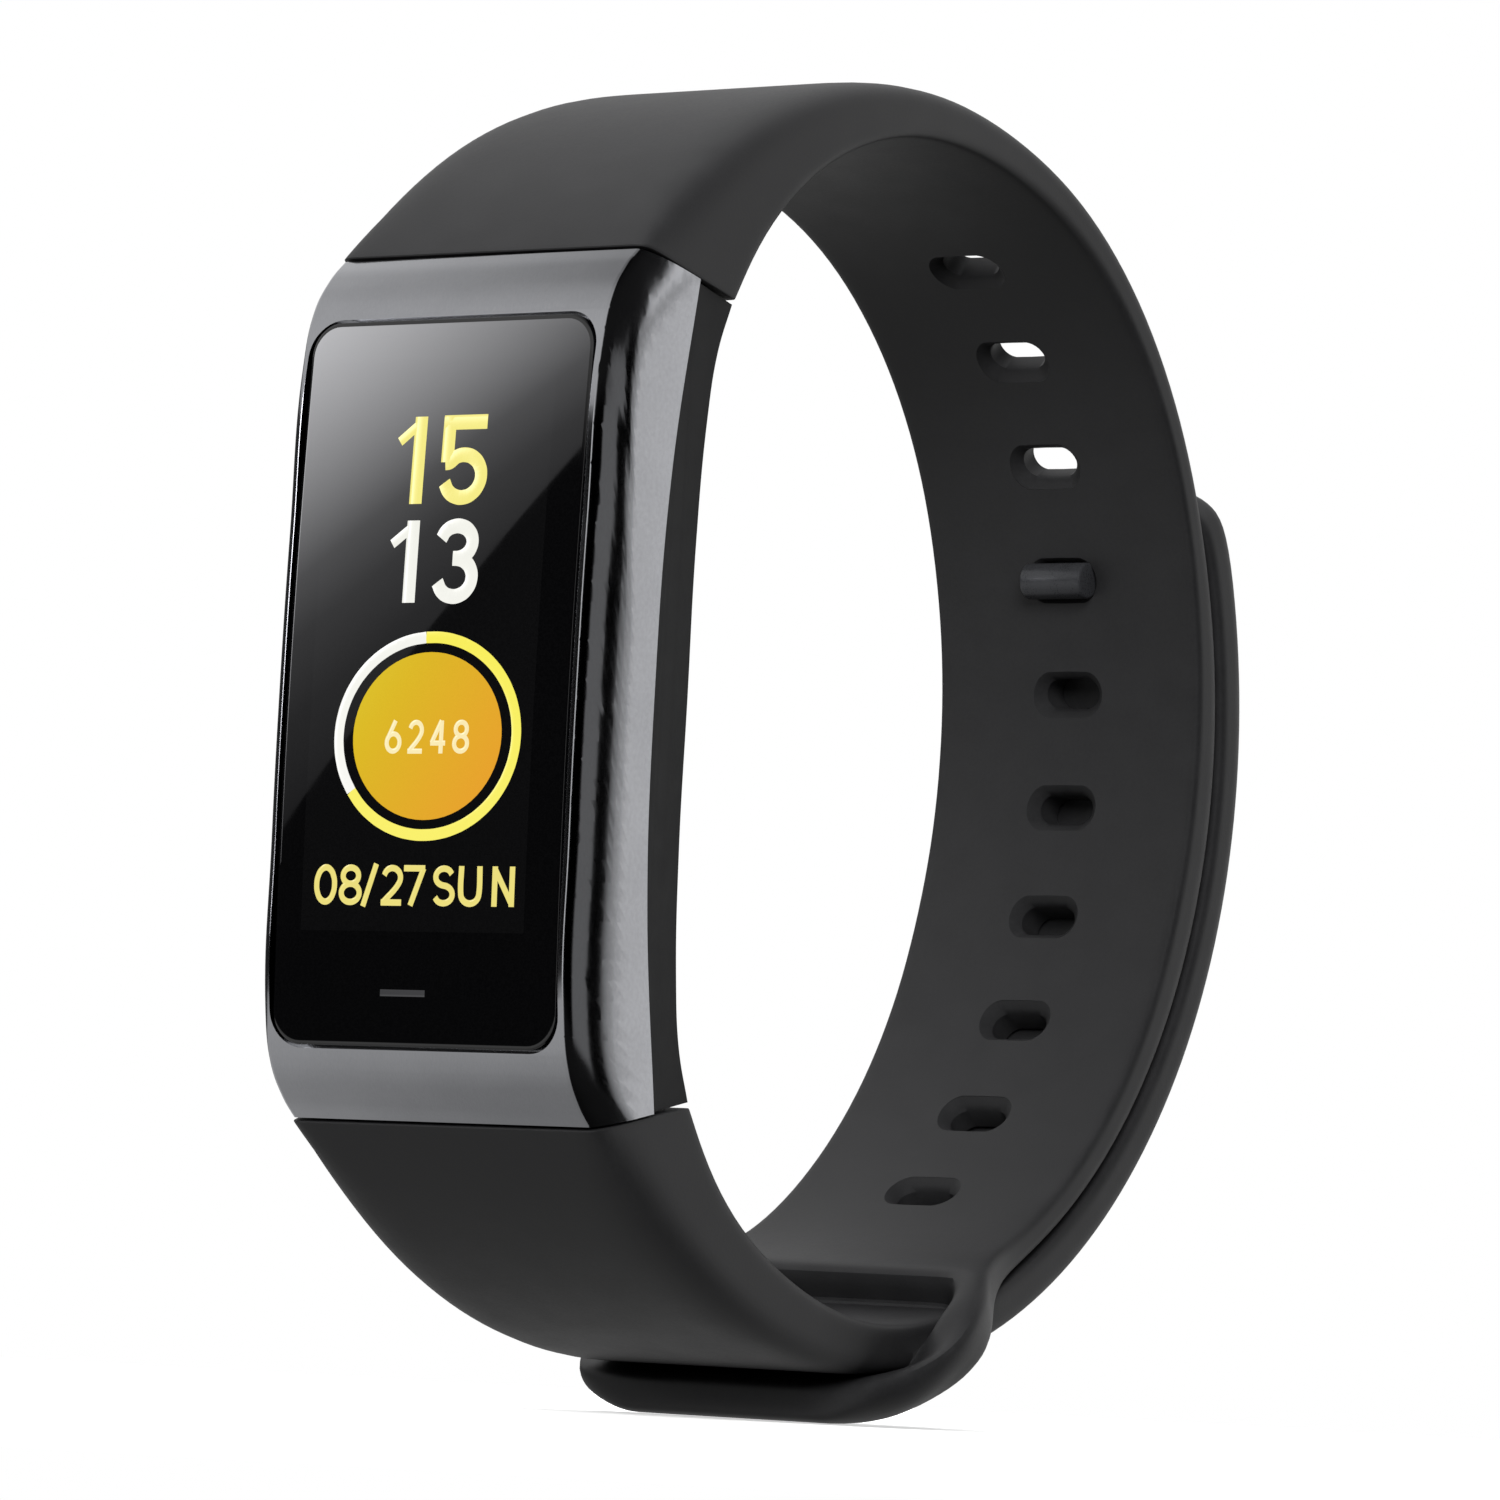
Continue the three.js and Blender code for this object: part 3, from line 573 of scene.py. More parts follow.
def back_cover():
    outline = with_lower_half(COVER_LINE[::-1] + SKIN_LINE[::-1])
    obj = profile(outline, 11, "side", fine=12)
    combine(obj, module_section(10.1, -0.3), "INTERSECT")
    finish_with(obj, "BEVEL", width=0.16, segments=3, limit_method="ANGLE",
                angle_limit=math.radians(50))
    ring = disc(0, 8.4, 9.6, 0, 6.6, 96)
    finish_with(ring, "BEVEL", width=0.22, segments=3, limit_method="ANGLE")
    combine(obj, ring, "UNION")
    combine(obj, pocket(8.9, 19.9, 1.2, 0, 8.0), "DIFFERENCE")
    combine(obj, disc(0, 7, 12, 0, WINDOW_RADIUS + 0.15, 96), "DIFFERENCE")
    for x in (-SCREW_X, SCREW_X):
        for z in (-SCREW_Z, SCREW_Z):
            combine(obj, disc(x, 8.2, 13, z, 1.3), "DIFFERENCE")
            combine(obj, disc(x, 5, 13, z, 0.75), "DIFFERENCE")
    for x in (-CONTACT_X, CONTACT_X):
        combine(obj, disc(x, 5, 13, CONTACT_Z, 1.3), "DIFFERENCE")
    return cut_strap_slots(obj)


def cover_glass():
    """The glass slab: rounded corners, a melted front edge, bowed to the crown."""
    obj = pocket(9.1, 18.75, 1.8, GLASS_FRONT, 1.1)
    open_mesh(obj, "EDGE")
    choose_edges(lambda a, b: a.y < 0.1 and b.y < 0.1)
    bpy.ops.mesh.bevel(offset=0.13, segments=3)
    choose_faces(lambda place, normal: normal.y < -0.99)
    bpy.ops.mesh.inset(thickness=0.12)
    cut_rows(-16.5, 16.5, 23)
    close_mesh()
    return bend_to(obj, CROWN_RADIUS, outward=False)


def sensor_window():
    obj = disc(0, 8.3, 9.86, 0, WINDOW_RADIUS, 96)
    open_mesh(obj)
    choose_faces(lambda place, normal: normal.y > 0.9)
    for width, rise in ((0.3, 0.06), (0.9, 0.05), (1.4, 0.03)):
        bpy.ops.mesh.inset(thickness=width)
        move(y=rise)
    close_mesh()
    return obj


def case_screw(x, z):
    head = disc(x, 8.3, 9.1, z, 1.0)
    finish_with(head, "BEVEL", width=0.12, segments=3, limit_method="ANGLE")
    for turn in (0, 1):
        slot = box(0, 9.1, 0, (1.2, 0.5, 0.22))
        slot.rotation_euler = (0, turn * math.pi / 2 + 0.3, 0)
        slot.location = (x, 0, z)
        combine(head, apply_place(slot), "DIFFERENCE")
    return combine(head, disc(x, 4.6, 8.5, z, 0.45, 24), "UNION")


def charge_contact(x):
    pad = disc(x, 8.2, 9.33, CONTACT_Z, 1.2)
    finish_with(pad, "BEVEL", width=0.14, segments=3, limit_method="ANGLE")
    open_mesh(pad)
    choose_faces(lambda place, normal: normal.y > 0.9)
    bpy.ops.mesh.inset(thickness=0.25)
    move(y=-0.05)
    close_mesh()
    return pad


# ---- what the display shows ----
def bow(x, z, across, up, start, end, count=9):
    """Stroke points of part of an oval; angles in degrees anticlockwise from the right."""
    return [(x + across * math.cos(math.radians(a)), z + up * math.sin(math.radians(a)))
            for a in even(start, end, count)]


# Each figure is drawn with a round pen in a box one wide and one tall; 1 marks a sharp turn,
# and a fourth number thins the pen there.
PEN = {
    "0": [bow(.5, .5, .5, .5, 0, 330, 12) + ["closed"]],
    "1": [[(.45, 1.0, 1, .66), (-.1, .76, 1, .66)], [(.47, 1.09, 1), (.47, -.08, 1)]],
    "2": [bow(.48, .72, .46, .28, 165, -32, 8) + [(.04, .02, 1)], [(-.1, 0, 1), (1.02, 0, 1)]],
    "3": [[(.36, .54, 1)] + bow(.44, .77, .45, .23, -84, 166), [(.36, .54, 1)] +
          bow(.44, .27, .49, .27, 88, -166)],
    "4": [[(.7, 1.06, 1), (0, .3, 1)], [(-.1, .28, 1), (1.05, .28, 1)],
          [(.72, 1.06, 1), (.72, -.08, 1)]],
    "5": [[(-.17, 1, 1), (1.06, 1, 1)], [(0, 1.08, 1), (0, .47, 1)],
          [(-.05, .46, 1)] + bow(.467, .277, .524, .285, 138, -163, 12)],
    "6": [bow(.5, .3, .5, .3, 0, 330, 12) + ["closed"], [(.62, 1.06, 1), (.03, .4, 1)]],
    "7": [[(-.1, 1, 1), (1.06, 1, 1)], [(.98, 1, 1), (.3, -.08, 1)]],
    "8": [bow(.5, .765, .43, .235, 0, 330, 12) + ["closed"], bow(.5, .265, .5, .265, 0, 330, 12) +
          ["closed"]],
    "/": [[(0, -.12, 1), (1, 1.12, 1)]],
    "S": [bow(.5, .76, .45, .24, 20, 240, 9) + bow(.5, .25, .48, .25, 60, -160, 9)],
    "U": [[(.0, 1.08, 1), (.0, .3)] + bow(.5, .3, .5, .3, 205, 335, 6) + [(1.0, .3), (1.0, 1.08, 1)]],
    "N": [[(.03, -.08, 1), (.03, 1.08, 1)], [(.03, 1, 1), (.97, 0, 1)],
          [(.97, -.08, 1), (.97, 1.08, 1)]],
}


def pen_strokes(strokes, pen, name, lift=0.004):
    """Flat marks on the face of the glass from strokes in x and z."""
    bpy.ops.object.select_all(action="DESELECT")
    bpy.ops.curve.primitive_bezier_circle_add(location=(0, 0, 0))
    obj = bpy.context.object
    drawing = obj.data
    drawing.dimensions = "3D"
    drawing.bevel_depth = pen / 2
    drawing.bevel_resolution = 3
    drawing.use_fill_caps = True
    drawing.resolution_u = 10
    drawing.splines.clear()
    for stroke in strokes:
        closed = stroke[-1] == "closed"
        spots = stroke[:-1] if closed else stroke
        line = drawing.splines.new("BEZIER")
        line.bezier_points.add(len(spots) - 1)
        for spot, place in zip(line.bezier_points, spots):
            kind = "VECTOR" if len(place) > 2 else "AUTO"
            spot.handle_left_type = spot.handle_right_type = kind
            spot.co = (place[0], 0, place[1])
            spot.radius = place[3] if len(place) > 3 else 1
        line.use_cyclic_u = closed
    bpy.ops.object.convert(target="MESH")
    open_mesh(obj)
    bpy.ops.mesh.select_all(action="SELECT")
    stretch(y=0.03 / pen)
    move(y=GLASS_FRONT - lift)
    cut_rows(-16, 16, 33)
    close_mesh()
    obj.name = name
    return bend_to(obj, CROWN_RADIUS, outward=False)


def figures(text, starts, z, wide, tall, pen, name, lift=0.004):
    strokes = []
    for letter, x in zip(text, starts):
        w = wide * (0.68 if letter == "/" else 1)
        for stroke in PEN[letter]:
            strokes.append([p if p == "closed" else (x + p[0] * w, z + p[1] * tall) + tuple(p[2:])
                            for p in stroke])
    return pen_strokes(strokes, pen, name, lift)


DIAL_X, DIAL_Z = 0.22, -2.85


def dial_face():
    bpy.ops.object.select_all(action="DESELECT")
    bpy.ops.mesh.primitive_cylinder_add(vertices=64, radius=1, depth=0.03,
                                        location=(DIAL_X, GLASS_FRONT - 0.003, DIAL_Z),
                                        rotation=(math.pi / 2, 0, 0), scale=(4.75, 4.3, 1))
    obj = apply_place(bpy.context.object)
    open_mesh(obj)
    cut_rows(-16, 16, 33)
    close_mesh()
    return bend_to(obj, CROWN_RADIUS, outward=False)


# ---- finishes ----
def srgb(red, green, blue):
    """A colour given as 0-255 steps, as the shaders want it."""
    out = []
    for step in (red, green, blue):
        value = step / 255
        out.append(value / 12.92 if value <= 0.04045 else ((value + 0.055) / 1.055) ** 2.4)
    return (*out, 1.0)


class NodeTree:
    """Shader nodes laid out step by step."""

    def __init__(self, tree):
        self.tree = tree

    def node(self, kind, **settings):
        made = self.tree.nodes.new(kind)
        for key, value in settings.items():
            setattr(made, key, value)
        return made

    def link(self, source, target):
        self.tree.links.new(source, target)

    def feed(self, made, values):
        """Gives a node's inputs, in order, a number, a colour or another node's output."""
        for target, value in zip(made.inputs, values):
            if isinstance(value, bpy.types.NodeSocket):
                self.link(value, target)
            else:
                target.default_value = value
        return made.outputs[0]

    def maths(self, operation, *values):
        return self.feed(self.node("ShaderNodeMath", operation=operation), values)

    def mix(self, amount, first, second, blend="MIX"):
        return self.feed(self.node("ShaderNodeMixRGB", blend_type=blend), (amount, first, second))

    def ramp(self, source, stops):
        made = self.node("ShaderNodeValToRGB")
        band = made.color_ramp
        while len(band.elements) < len(stops):
            band.elements.new(0.5)
        for element, (place, colour) in zip(band.elements, stops):
            element.position = place
            element.color = colour
        self.link(source, made.inputs["Fac"])
        return made.outputs["Color"]


class Finish(NodeTree):
    """A material made round the usual surface shader."""

    def __init__(self, name):
        self.material = bpy.data.materials.new(name)
        self.material.use_nodes = True
        super().__init__(self.material.node_tree)
        self.shader = self.tree.nodes["Principled BSDF"]
        self.place = self.node("ShaderNodeTexCoord").outputs["Object"]

    def noise(self, scale, detail=3.0, rough=0.5, stretch_by=None):
        made = self.node("ShaderNodeTexNoise")
        made.inputs["Scale"].default_value = scale
        made.inputs["Detail"].default_value = detail
        made.inputs["Roughness"].default_value = rough
        source = self.place
        if stretch_by:
            mapping = self.node("ShaderNodeMapping")
            mapping.inputs["Scale"].default_value = stretch_by
            self.link(source, mapping.inputs["Vector"])
            source = mapping.outputs["Vector"]
        self.link(source, made.inputs["Vector"])
        return made.outputs["Fac"]

    def spread(self, source, low, high):
        made = self.node("ShaderNodeMapRange")
        made.inputs["From Min"].default_value = 0.3
        made.inputs["From Max"].default_value = 0.7
        made.inputs["To Min"].default_value = low
        made.inputs["To Max"].default_value = high
        self.link(source, made.inputs["Value"])
        return made.outputs["Result"]

    def bump(self, source, strength, distance, under=None):
        made = self.node("ShaderNodeBump")
        made.inputs["Strength"].default_value = strength
        made.inputs["Distance"].default_value = distance
        self.link(source, made.inputs["Height"])
        if under:
            self.link(under, made.inputs["Normal"])
        return made.outputs["Normal"]

    def set(self, **values):
        for key, value in values.items():
            self.shader.inputs[key.replace("_", " ")].default_value = value
        return self


def worked(name, dark, light, grain, roughness, metallic=0.0, bump=0.15, depth=2e-5, along=None,
           **extra):
    """A finish whose colour, gloss and relief vary with a grain of so many marks a metre."""
    finish = Finish(name)
    broad = finish.noise(grain / 12, 2.0)
    fine = finish.noise(grain, 4.0, 0.6, along)
    mixed = finish.maths("MULTIPLY_ADD", fine, 0.6, finish.maths("MULTIPLY", broad, 0.4))
    finish.link(finish.ramp(mixed, [(0.35, dark), (0.65, light)]),
                finish.shader.inputs["Base Color"])
    finish.link(finish.spread(mixed, *roughness), finish.shader.inputs["Roughness"])
    finish.link(finish.bump(fine, bump, depth), finish.shader.inputs["Normal"])
    finish.set(Metallic=metallic, **extra)
    return finish


def silicone():
    """Moulded silicone: a faint cast texture, and a soft sheen where light grazes it."""
    finish = worked("moulded_silicone", srgb(34, 34, 35), srgb(41, 41, 42), 5200, (0.50, 0.60),
                    bump=0.22, depth=2.2e-5)
    return finish.set(Specular_IOR_Level=0.42).material


def lit(name, stops, direction, strength):
    """A part of the lit picture: a colour that runs across it, under the gloss of the glass."""
    finish = Finish(name)
    mapping = finish.node("ShaderNodeMapping", vector_type="POINT")
    mapping.inputs["Location"].default_value = direction[0]
    mapping.inputs["Rotation"].default_value = direction[1]
    mapping.inputs["Scale"].default_value = direction[2]
    finish.link(finish.place, mapping.inputs["Vector"])
    run = finish.node("ShaderNodeTexGradient")
    finish.link(mapping.outputs["Vector"], run.inputs["Vector"])
    grain = finish.noise(26000, 1.0)
    colour = finish.ramp(run.outputs["Fac"], stops)
    shimmer = finish.mix(0.12, colour, grain, "MULTIPLY")
    finish.link(shimmer, finish.shader.inputs["Emission Color"])
    dim = finish.mix(1.0, colour, (0.02, 0.02, 0.02, 1), "MULTIPLY")
    finish.link(dim, finish.shader.inputs["Base Color"])
    return finish.set(Roughness=0.05, Emission_Strength=strength).material


def screen_black():
    """Black glass, in which the panel behind shows a shade lighter than its border."""
    finish = Finish("screen_black_glass")
    parts = finish.node("ShaderNodeSeparateXYZ")
    finish.link(finish.place, parts.inputs[0])
    inside = []
    for axis, middle, half in (("X", -0.00025, 0.00715), ("Z", 0.00145, 0.0143)):
        offset = finish.maths("ABSOLUTE", finish.maths("SUBTRACT", parts.outputs[axis], middle))
        inside.append(finish.maths("LESS_THAN", offset, half))
    grain = finish.noise(9000, 2.0)
    base = finish.ramp(grain, [(0.4, srgb(3, 3, 4)), (0.6, srgb(6, 6, 7))])
    panel = finish.ramp(grain, [(0.4, srgb(9, 9, 10)), (0.6, srgb(12, 12, 13))])
    colour = finish.mix(finish.maths("MULTIPLY", *inside), base, panel)
    finish.link(colour, finish.shader.inputs["Base Color"])
    gloss = finish.spread(finish.noise(700, 3.0), 0.010, 0.018)
    finish.link(gloss, finish.shader.inputs["Roughness"])
    return finish.set(IOR=1.75).material


def painted(obj, material):
    obj.data.materials.clear()
    obj.data.materials.append(material)
    return obj


# ---- the pieces, in place ----
rubber = silicone()
glass = screen_black()
gunmetal = worked("polished_gunmetal", srgb(184, 185, 189), srgb(192, 193, 197), 3800, (0.09, 0.13),
                  metallic=1.0, bump=0.03, depth=2e-6, along=(6.0, 1.0, 1.0)).material
cover_plastic = worked("cover_plastic", srgb(17, 17, 18), srgb(24, 24, 25), 9000, (0.55, 0.66),
                       bump=0.2, depth=1.5e-5).set(Specular_IOR_Level=0.3).material
bright_steel = worked("bright_steel", srgb(165, 168, 172), srgb(195, 198, 202), 7000, (0.22, 0.36),
                      metallic=1.0, bump=0.1, depth=5e-6, along=(1.0, 1.0, 5.0)).material
stud_finish = worked("stud_metal_black", srgb(58, 59, 62), srgb(72, 73, 76), 9000, (0.24, 0.34),
                     metallic=0.4, bump=0.08, depth=5e-6).material
contact_gold = worked("contact_gold", srgb(205, 160, 78), srgb(226, 184, 100), 6000, (0.2, 0.32),
                      metallic=1.0, bump=0.08, depth=5e-6).material
seal_rubber = worked("seal_rubber", srgb(16, 16, 16), srgb(26, 26, 26), 7000, (0.7, 0.85)).material
board_green = worked("board_green", srgb(14, 52, 34), srgb(28, 78, 50), 2600, (0.4, 0.55),
                     bump=0.25, depth=2e-5).material
ribbon_amber = worked("ribbon_amber", srgb(122, 74, 18), srgb(160, 102, 34), 2200, (0.35, 0.5),
                      along=(8.0, 1.0, 1.0)).material
cell_foil = worked("cell_foil", srgb(158, 160, 164), srgb(190, 192, 196), 1800, (0.32, 0.5),
                   metallic=0.7, bump=0.35, depth=3e-5).material
chip_black = worked("chip_black", srgb(14, 14, 15), srgb(24, 24, 26), 8000, (0.45, 0.6)).material
led_green = worked("led_lens_green", srgb(14, 96, 46), srgb(40, 168, 84), 3000, (0.12, 0.2),
                   bump=0.05).material
panel_black = worked("panel_black", srgb(6, 7, 10), srgb(14, 15, 20), 5000, (0.1, 0.2),
                     bump=0.05).material
tungsten = worked("tungsten", srgb(96, 97, 100), srgb(128, 130, 134), 6000, (0.35, 0.5),
                  metallic=1.0).material

upper = painted(settle(upper_strap(), "upper_strap_moulded"), rubber)
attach(upper, "band")
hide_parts("upper_strap")

# The lower strap and its end are one moulding, which bends where the end peels away; here it is one
# fixed shape, not made to bend.
lower = painted(settle(lower_strap(), "lower_strap_and_tail"), rubber)
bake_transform(lower)
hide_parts("lower_strap", "strap_tip")

screw_spots = [(x, z) for z in (SCREW_Z, -SCREW_Z) for x in (SCREW_X, -SCREW_X)]
for piece, name, body, node, material, slot in (
        (clasp_stud(), "clasp_stud_barrel", "tip", "clasp_stud", stud_finish, "stud_metal"),
        (stud_cap(), "stud_cap_disc", "tip", "stud_cap", stud_finish, "stud_metal"),
        (bezel_frame(), "bezel_frame_polished", "band", "bezel_frame", gunmetal, "frame_metal"),
        (back_cover(), "back_cover_shell", "band", "back_cover", cover_plastic, "case_plastic"),
        (cover_glass(), "cover_glass_bowed", "band", "cover_glass", glass, "screen_glass"),
        (sensor_window(), "sensor_window_domed", "band", "sensor_window", glass, "sensor_glass"),
        (charge_contact(-CONTACT_X), "charge_pad_left", "band", "charge_contact_left", contact_gold,
         "contact_gold"),
        (charge_contact(CONTACT_X), "charge_pad_right", "band", "charge_contact_right", contact_gold,
         "contact_gold"),
        *((case_screw(x, z), f"cover_screw_{i}", "band", f"case_screw_{i}", bright_steel, "steel")
          for i, (x, z) in enumerate(screw_spots, 1))):
    settle(piece, name)
    painted(piece, material)
    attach(piece, body)
    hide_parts(node)

# What the display shows.
DOWNWARD = (0, math.radians(-90), 0)
hour_yellow = lit("hour_yellow", [(0.0, srgb(250, 240, 138)), (0.55, srgb(248, 232, 128)),
                                  (1.0, srgb(240, 196, 100))],
                  ((-0.55, 0, 0), (0, math.radians(-60), 0), (105, 105, 105)), 1.0)
date_yellow = lit("date_yellow", [(0.0, srgb(246, 236, 140)), (1.0, srgb(240, 226, 128))],
                  ((0.5, 0, 0), DOWNWARD, (60, 60, 60)), 1.0)
warm_white = lit("minute_white", [(0.0, srgb(246, 246, 238)), (1.0, srgb(255, 255, 250))],
                 ((0.5, 0, 0), DOWNWARD, (60, 60, 60)), 1.0)
step_cream = lit("step_cream", [(0.0, srgb(255, 244, 196)), (1.0, srgb(255, 236, 176))],
                 ((0.5, 0, 0), (0, 0, 0), (60, 60, 60)), 1.0)
ring_yellow = lit("ring_yellow", [(0.0, srgb(252, 242, 84)), (1.0, srgb(255, 245, 112))],
                  ((0.5, 0, 0), DOWNWARD, (60, 60, 60)), 1.0)
dial_gold = lit("dial_gold", [(0.0, srgb(220, 204, 30)), (0.5, srgb(226, 184, 40)),
                              (1.0, srgb(236, 166, 46))],
                ((0.5, 0, 0), (0, math.radians(-35), 0), (80, 80, 80)), 1.0)
dim_grey = lit("pointer_grey", [(0.0, srgb(66, 66, 68)), (1.0, srgb(78, 78, 80))],
               ((0.5, 0, 0), (0, 0, 0), (60, 60, 60)), 0.8)
date_starts = (-6.46, -4.84, -3.42, -2.14, -0.72, 1.16, 2.84, 4.94)
shown = (
    (figures("15", (-2.55, 0.37), 9.43, 2.25, 3.87, 0.8, "hour_figures"), hour_yellow),
    (figures("13", (-2.55, 0.37), 4.3, 2.25, 3.63, 0.8, "minute_figures"), warm_white),
    (pen_strokes([bow(DIAL_X, DIAL_Z, 5.68, 5.07, -146, 94, 26)], 0.62, "ring_done"), ring_yellow),
    (pen_strokes([bow(DIAL_X, DIAL_Z, 5.68, 5.07, 94, 214, 14)], 0.62, "ring_left"), warm_white),
    (dial_face(), dial_gold),
    (figures("6248", (-2.33, -0.88, 0.56, 2.0), -3.63, 0.82, 1.48, 0.27, "step_figures", 0.022),
     step_cream),
    (figures("08/27SUN", date_starts, -11.38, 1.16, 1.76, 0.34, "date_figures"), date_yellow),
    (pen_strokes([[(-2.1, -16.0, 1), (0.75, -16.0, 1)]], 0.36, "home_mark"), dim_grey),
)
for piece, material in shown:
    settle(piece, piece.name)
    painted(piece, material)
    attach(piece, "band")

# The CAD nodes that stay as they are.
NODE_FINISH = {
    "accelerometer_chip": chip_black, "antenna_strip": contact_gold, "back_seal": seal_rubber,
    "battery_cell": cell_foil, "battery_foam": seal_rubber, "display_flex": ribbon_amber,
    "display_panel": panel_black, "display_shield": bright_steel, "glass_gasket": seal_rubber,
    "light_barrier": chip_black, "main_board": board_green, "mid_chassis": cover_plastic,
    "motor_base": board_green, "motor_can": bright_steel, "motor_rotor": tungsten,
    "motor_shaft": bright_steel, "photodiode": panel_black, "sensor_board": board_green,
    "sensor_led_left": led_green, "sensor_led_right": led_green, "shield_can": bright_steel,
}
for node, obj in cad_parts.items():
    painted(obj, NODE_FINISH.get(node, bright_steel))

# ---- floor, light and camera ----
low, high = cad_size[0], cad_size[1]
FLOOR_Z = low[2] - 0.00005


def studio_light(name, place, aim, wide, tall, watts, glossy=True):
    bpy.ops.object.light_add(type="AREA", location=place)
    lamp = bpy.context.object
    lamp.name = name
    lamp.data.shape = "RECTANGLE"
    lamp.data.size, lamp.data.size_y = wide, tall
    lamp.data.energy = watts
    lamp.rotation_euler = (Vector(aim) - Vector(place)).to_track_quat("-Z", "Y").to_euler()
    lamp.visible_glossy = glossy
    return lamp


bpy.ops.object.select_all(action="DESELECT")
bpy.ops.mesh.primitive_circle_add(vertices=96, radius=0.22, fill_type="NGON",
                                  location=(0, 0.02, FLOOR_Z))
floor = bpy.context.object
floor.name = "pale_floor"
floor_finish = Finish("pale_floor")
floor_finish.link(floor_finish.ramp(floor_finish.noise(40, 2.0), [(0.3, srgb(246, 246, 246)),
                                                                  (0.7, srgb(250, 250, 250))]),
                  floor_finish.shader.inputs["Base Color"])
floor_finish.set(Roughness=0.9, Specular_IOR_Level=0.1, Emission_Strength=0.5,
                 Emission_Color=(1, 1, 1, 1))
painted(floor, floor_finish.material)
floor.visible_glossy = False
floor.visible_diffuse = False

studio_light("top_softbox", (-0.12, 0.10, 0.42), (0, 0.02, 0.01), 0.45, 0.45, 3.4, glossy=False)
studio_light("front_fill", (0.34, -0.42, 0.24), (0, 0.03, 0), 0.3, 0.3, 4.0, glossy=False)

# A card with one slanted edge, which the glass mirrors as a soft gleam across its upper left.
CARD_SPOT = Vector((-0.3030, -0.4012, 0.0791))
card_across = Vector((-0.7907, 0.6122, 0.0))
card_facing = Vector((0.6060, 0.7826, -0.1421))
bpy.ops.object.select_all(action="DESELECT")
bpy.ops.mesh.primitive_plane_add(size=0.1, location=CARD_SPOT, rotation=Matrix(
    (card_across, card_facing.cross(card_across), card_facing)).transposed().to_euler())
card = bpy.context.object
card.name = "gleam_card"
open_mesh(card)
for corner, spot in (((-1, 1), (-0.0255, 0.055)), ((-1, -1), (0.0157, -0.080)),
                     ((1, 1), (0.060, 0.055)), ((1, -1), (0.060, -0.080))):
    shape = bmesh.from_edit_mesh(card.data)
    for v in shape.verts:
        if v.co.x * corner[0] > 0.02 and v.co.y * corner[1] > 0.02 and not v.tag:
            v.co.x, v.co.y, v.tag = spot[0], spot[1], True
            break
close_mesh()
card_light = Finish("gleam_card")
split = card_light.node("ShaderNodeSeparateXYZ")
card_light.link(card_light.place, split.inputs[0])
run = card_light.maths("MULTIPLY_ADD", split.outputs["X"], 2.0, split.outputs["Y"])
placed = card_light.node("ShaderNodeMapRange")
placed.inputs["From Min"].default_value = -0.08
placed.inputs["From Max"].default_value = 0.08
card_light.link(run, placed.inputs["Value"])
levels = ((0.0, 0.0), (0.375, 0.04), (0.5, 0.075), (0.60, 0.15), (0.66, 0.27), (0.81, 0.58),
          (1.0, 1.0))
gleam = card_light.ramp(placed.outputs["Result"],
                        [(place, (level, level, 1.03 * level, 1)) for place, level in levels])
card_light.link(gleam, card_light.shader.inputs["Emission Color"])
card_light.set(Base_Color=(0, 0, 0, 1), Specular_IOR_Level=0.0, Emission_Strength=6.0)
painted(card, card_light.material)
for unseen in ("camera", "diffuse", "shadow", "transmission", "volume_scatter"):
    setattr(card, "visible_" + unseen, False)

world = bpy.data.worlds.new("studio_room")
bpy.context.scene.world = world
world.use_nodes = True
room = NodeTree(world.node_tree)
room.tree.nodes.clear()


def levels_along(source, stops):
    """Levels of grey along a run from 0 to 1."""
    return room.ramp(source, [(place, (level, level, level, 1)) for place, level in stops])


way = room.node("ShaderNodeTexCoord").outputs["Generated"]
turn = room.node("ShaderNodeTexGradient", gradient_type="RADIAL")
room.link(way, turn.inputs["Vector"])
round_room = turn.outputs["Fac"]
# Levels round the room: 0.25 is straight in front of the screen, 0.5 is at +X, 0.75 is behind.
walls = levels_along(round_room, [
    (0.0, 0.03), (0.10, 0.02), (0.295, 0.0), (0.30, 0.8), (0.325, 0.8), (0.33, 0.0), (0.495, 0.0),
    (0.505, 0.17), (0.578, 0.17), (0.585, 0.0), (0.616, 0.0), (0.626, 0.24), (0.648, 0.5),
    (0.658, 1.3), (0.72, 1.2), (0.80, 0.8), (0.88, 0.1), (1.0, 0.03)])
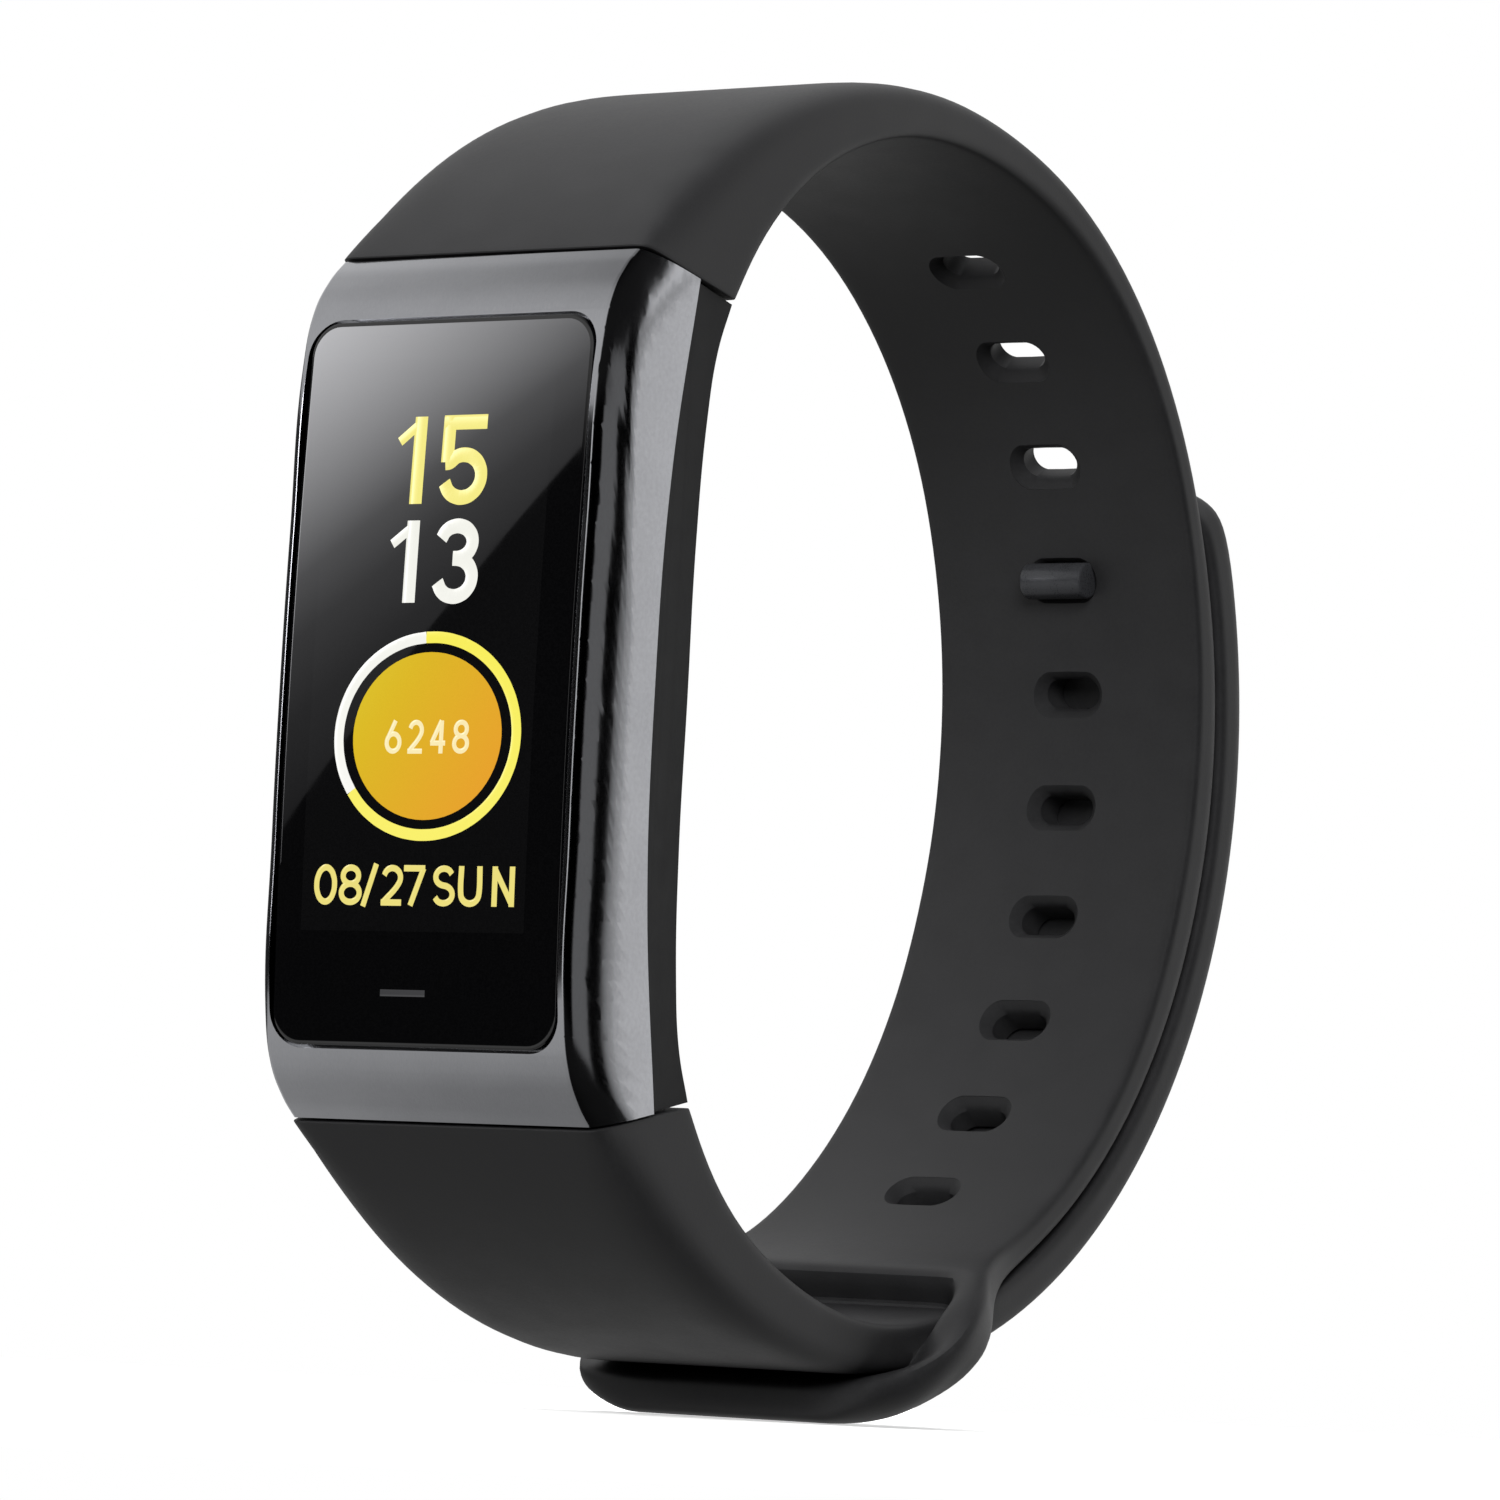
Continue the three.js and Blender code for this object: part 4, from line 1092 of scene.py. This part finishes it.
# Overhead and underfoot only the fronts and the sides are lit; the corners between stay dark.
gate = levels_along(round_room, [
    (0.0, 1.0), (0.33, 1.0), (0.36, 0.02), (0.622, 0.02), (0.632, 1.5), (0.75, 1.6), (1.0, 1.0)])
parts = room.node("ShaderNodeSeparateXYZ")
room.link(way, parts.inputs[0])
height = room.maths("MULTIPLY_ADD", parts.outputs["Z"], 0.5, 0.5)
ends = levels_along(height, [
    (0.0, 0.24), (0.1, 0.28), (0.3, 0.46), (0.7, 0.60), (0.8, 0.58), (0.9, 0.44), (1.0, 0.18)])
share = levels_along(height, [(0.425, 1.0), (0.455, 0.0), (0.585, 0.0), (0.61, 1.0)])
light_level = room.mix(share, walls, room.mix(1.0, ends, gate, "MULTIPLY"))
lighting = room.feed(room.node("ShaderNodeBackground"), [light_level])
backdrop = room.feed(room.node("ShaderNodeBackground"), [(1, 1, 1, 1)])
seen_direct = room.node("ShaderNodeLightPath").outputs["Is Camera Ray"]
both = room.feed(room.node("ShaderNodeMixShader"), (seen_direct, lighting, backdrop))
room.link(both, room.node("ShaderNodeOutputWorld").inputs["Surface"])

# The camera stands to the right of the screen, below the middle, and looks slightly up.
TURN, TILT = math.radians(35), math.radians(5.5)
cx, sx, ct, st = math.cos(TURN), math.sin(TURN), math.cos(TILT), math.sin(TILT)
across = Vector((cx, ct * sx, st * sx))
down = Vector((0, st, -ct))
ahead = Vector((-sx, ct * cx, st * cx))
seen = Matrix((across, down, ahead))  # the frame's directions, as the camera sees them
screen_spot = Vector((0.6, -MODULE_DEPTH, -0.5))  # a spot on the glass, left of the view's middle
spot_seen = Vector((-16.07, -3.06, 394.0))
stand = seen.transposed() @ (seen @ screen_spot - spot_seen)
bpy.ops.object.camera_add(location=stand * MM)
camera = bpy.context.object
camera.data.lens = 185.4
camera.data.sensor_width = 36
camera.data.clip_start = 0.01
camera.rotation_euler = Matrix((across, -down, -ahead)).transposed().to_euler()
bpy.context.scene.camera = camera
bpy.context.scene.view_settings.view_transform = "Standard"
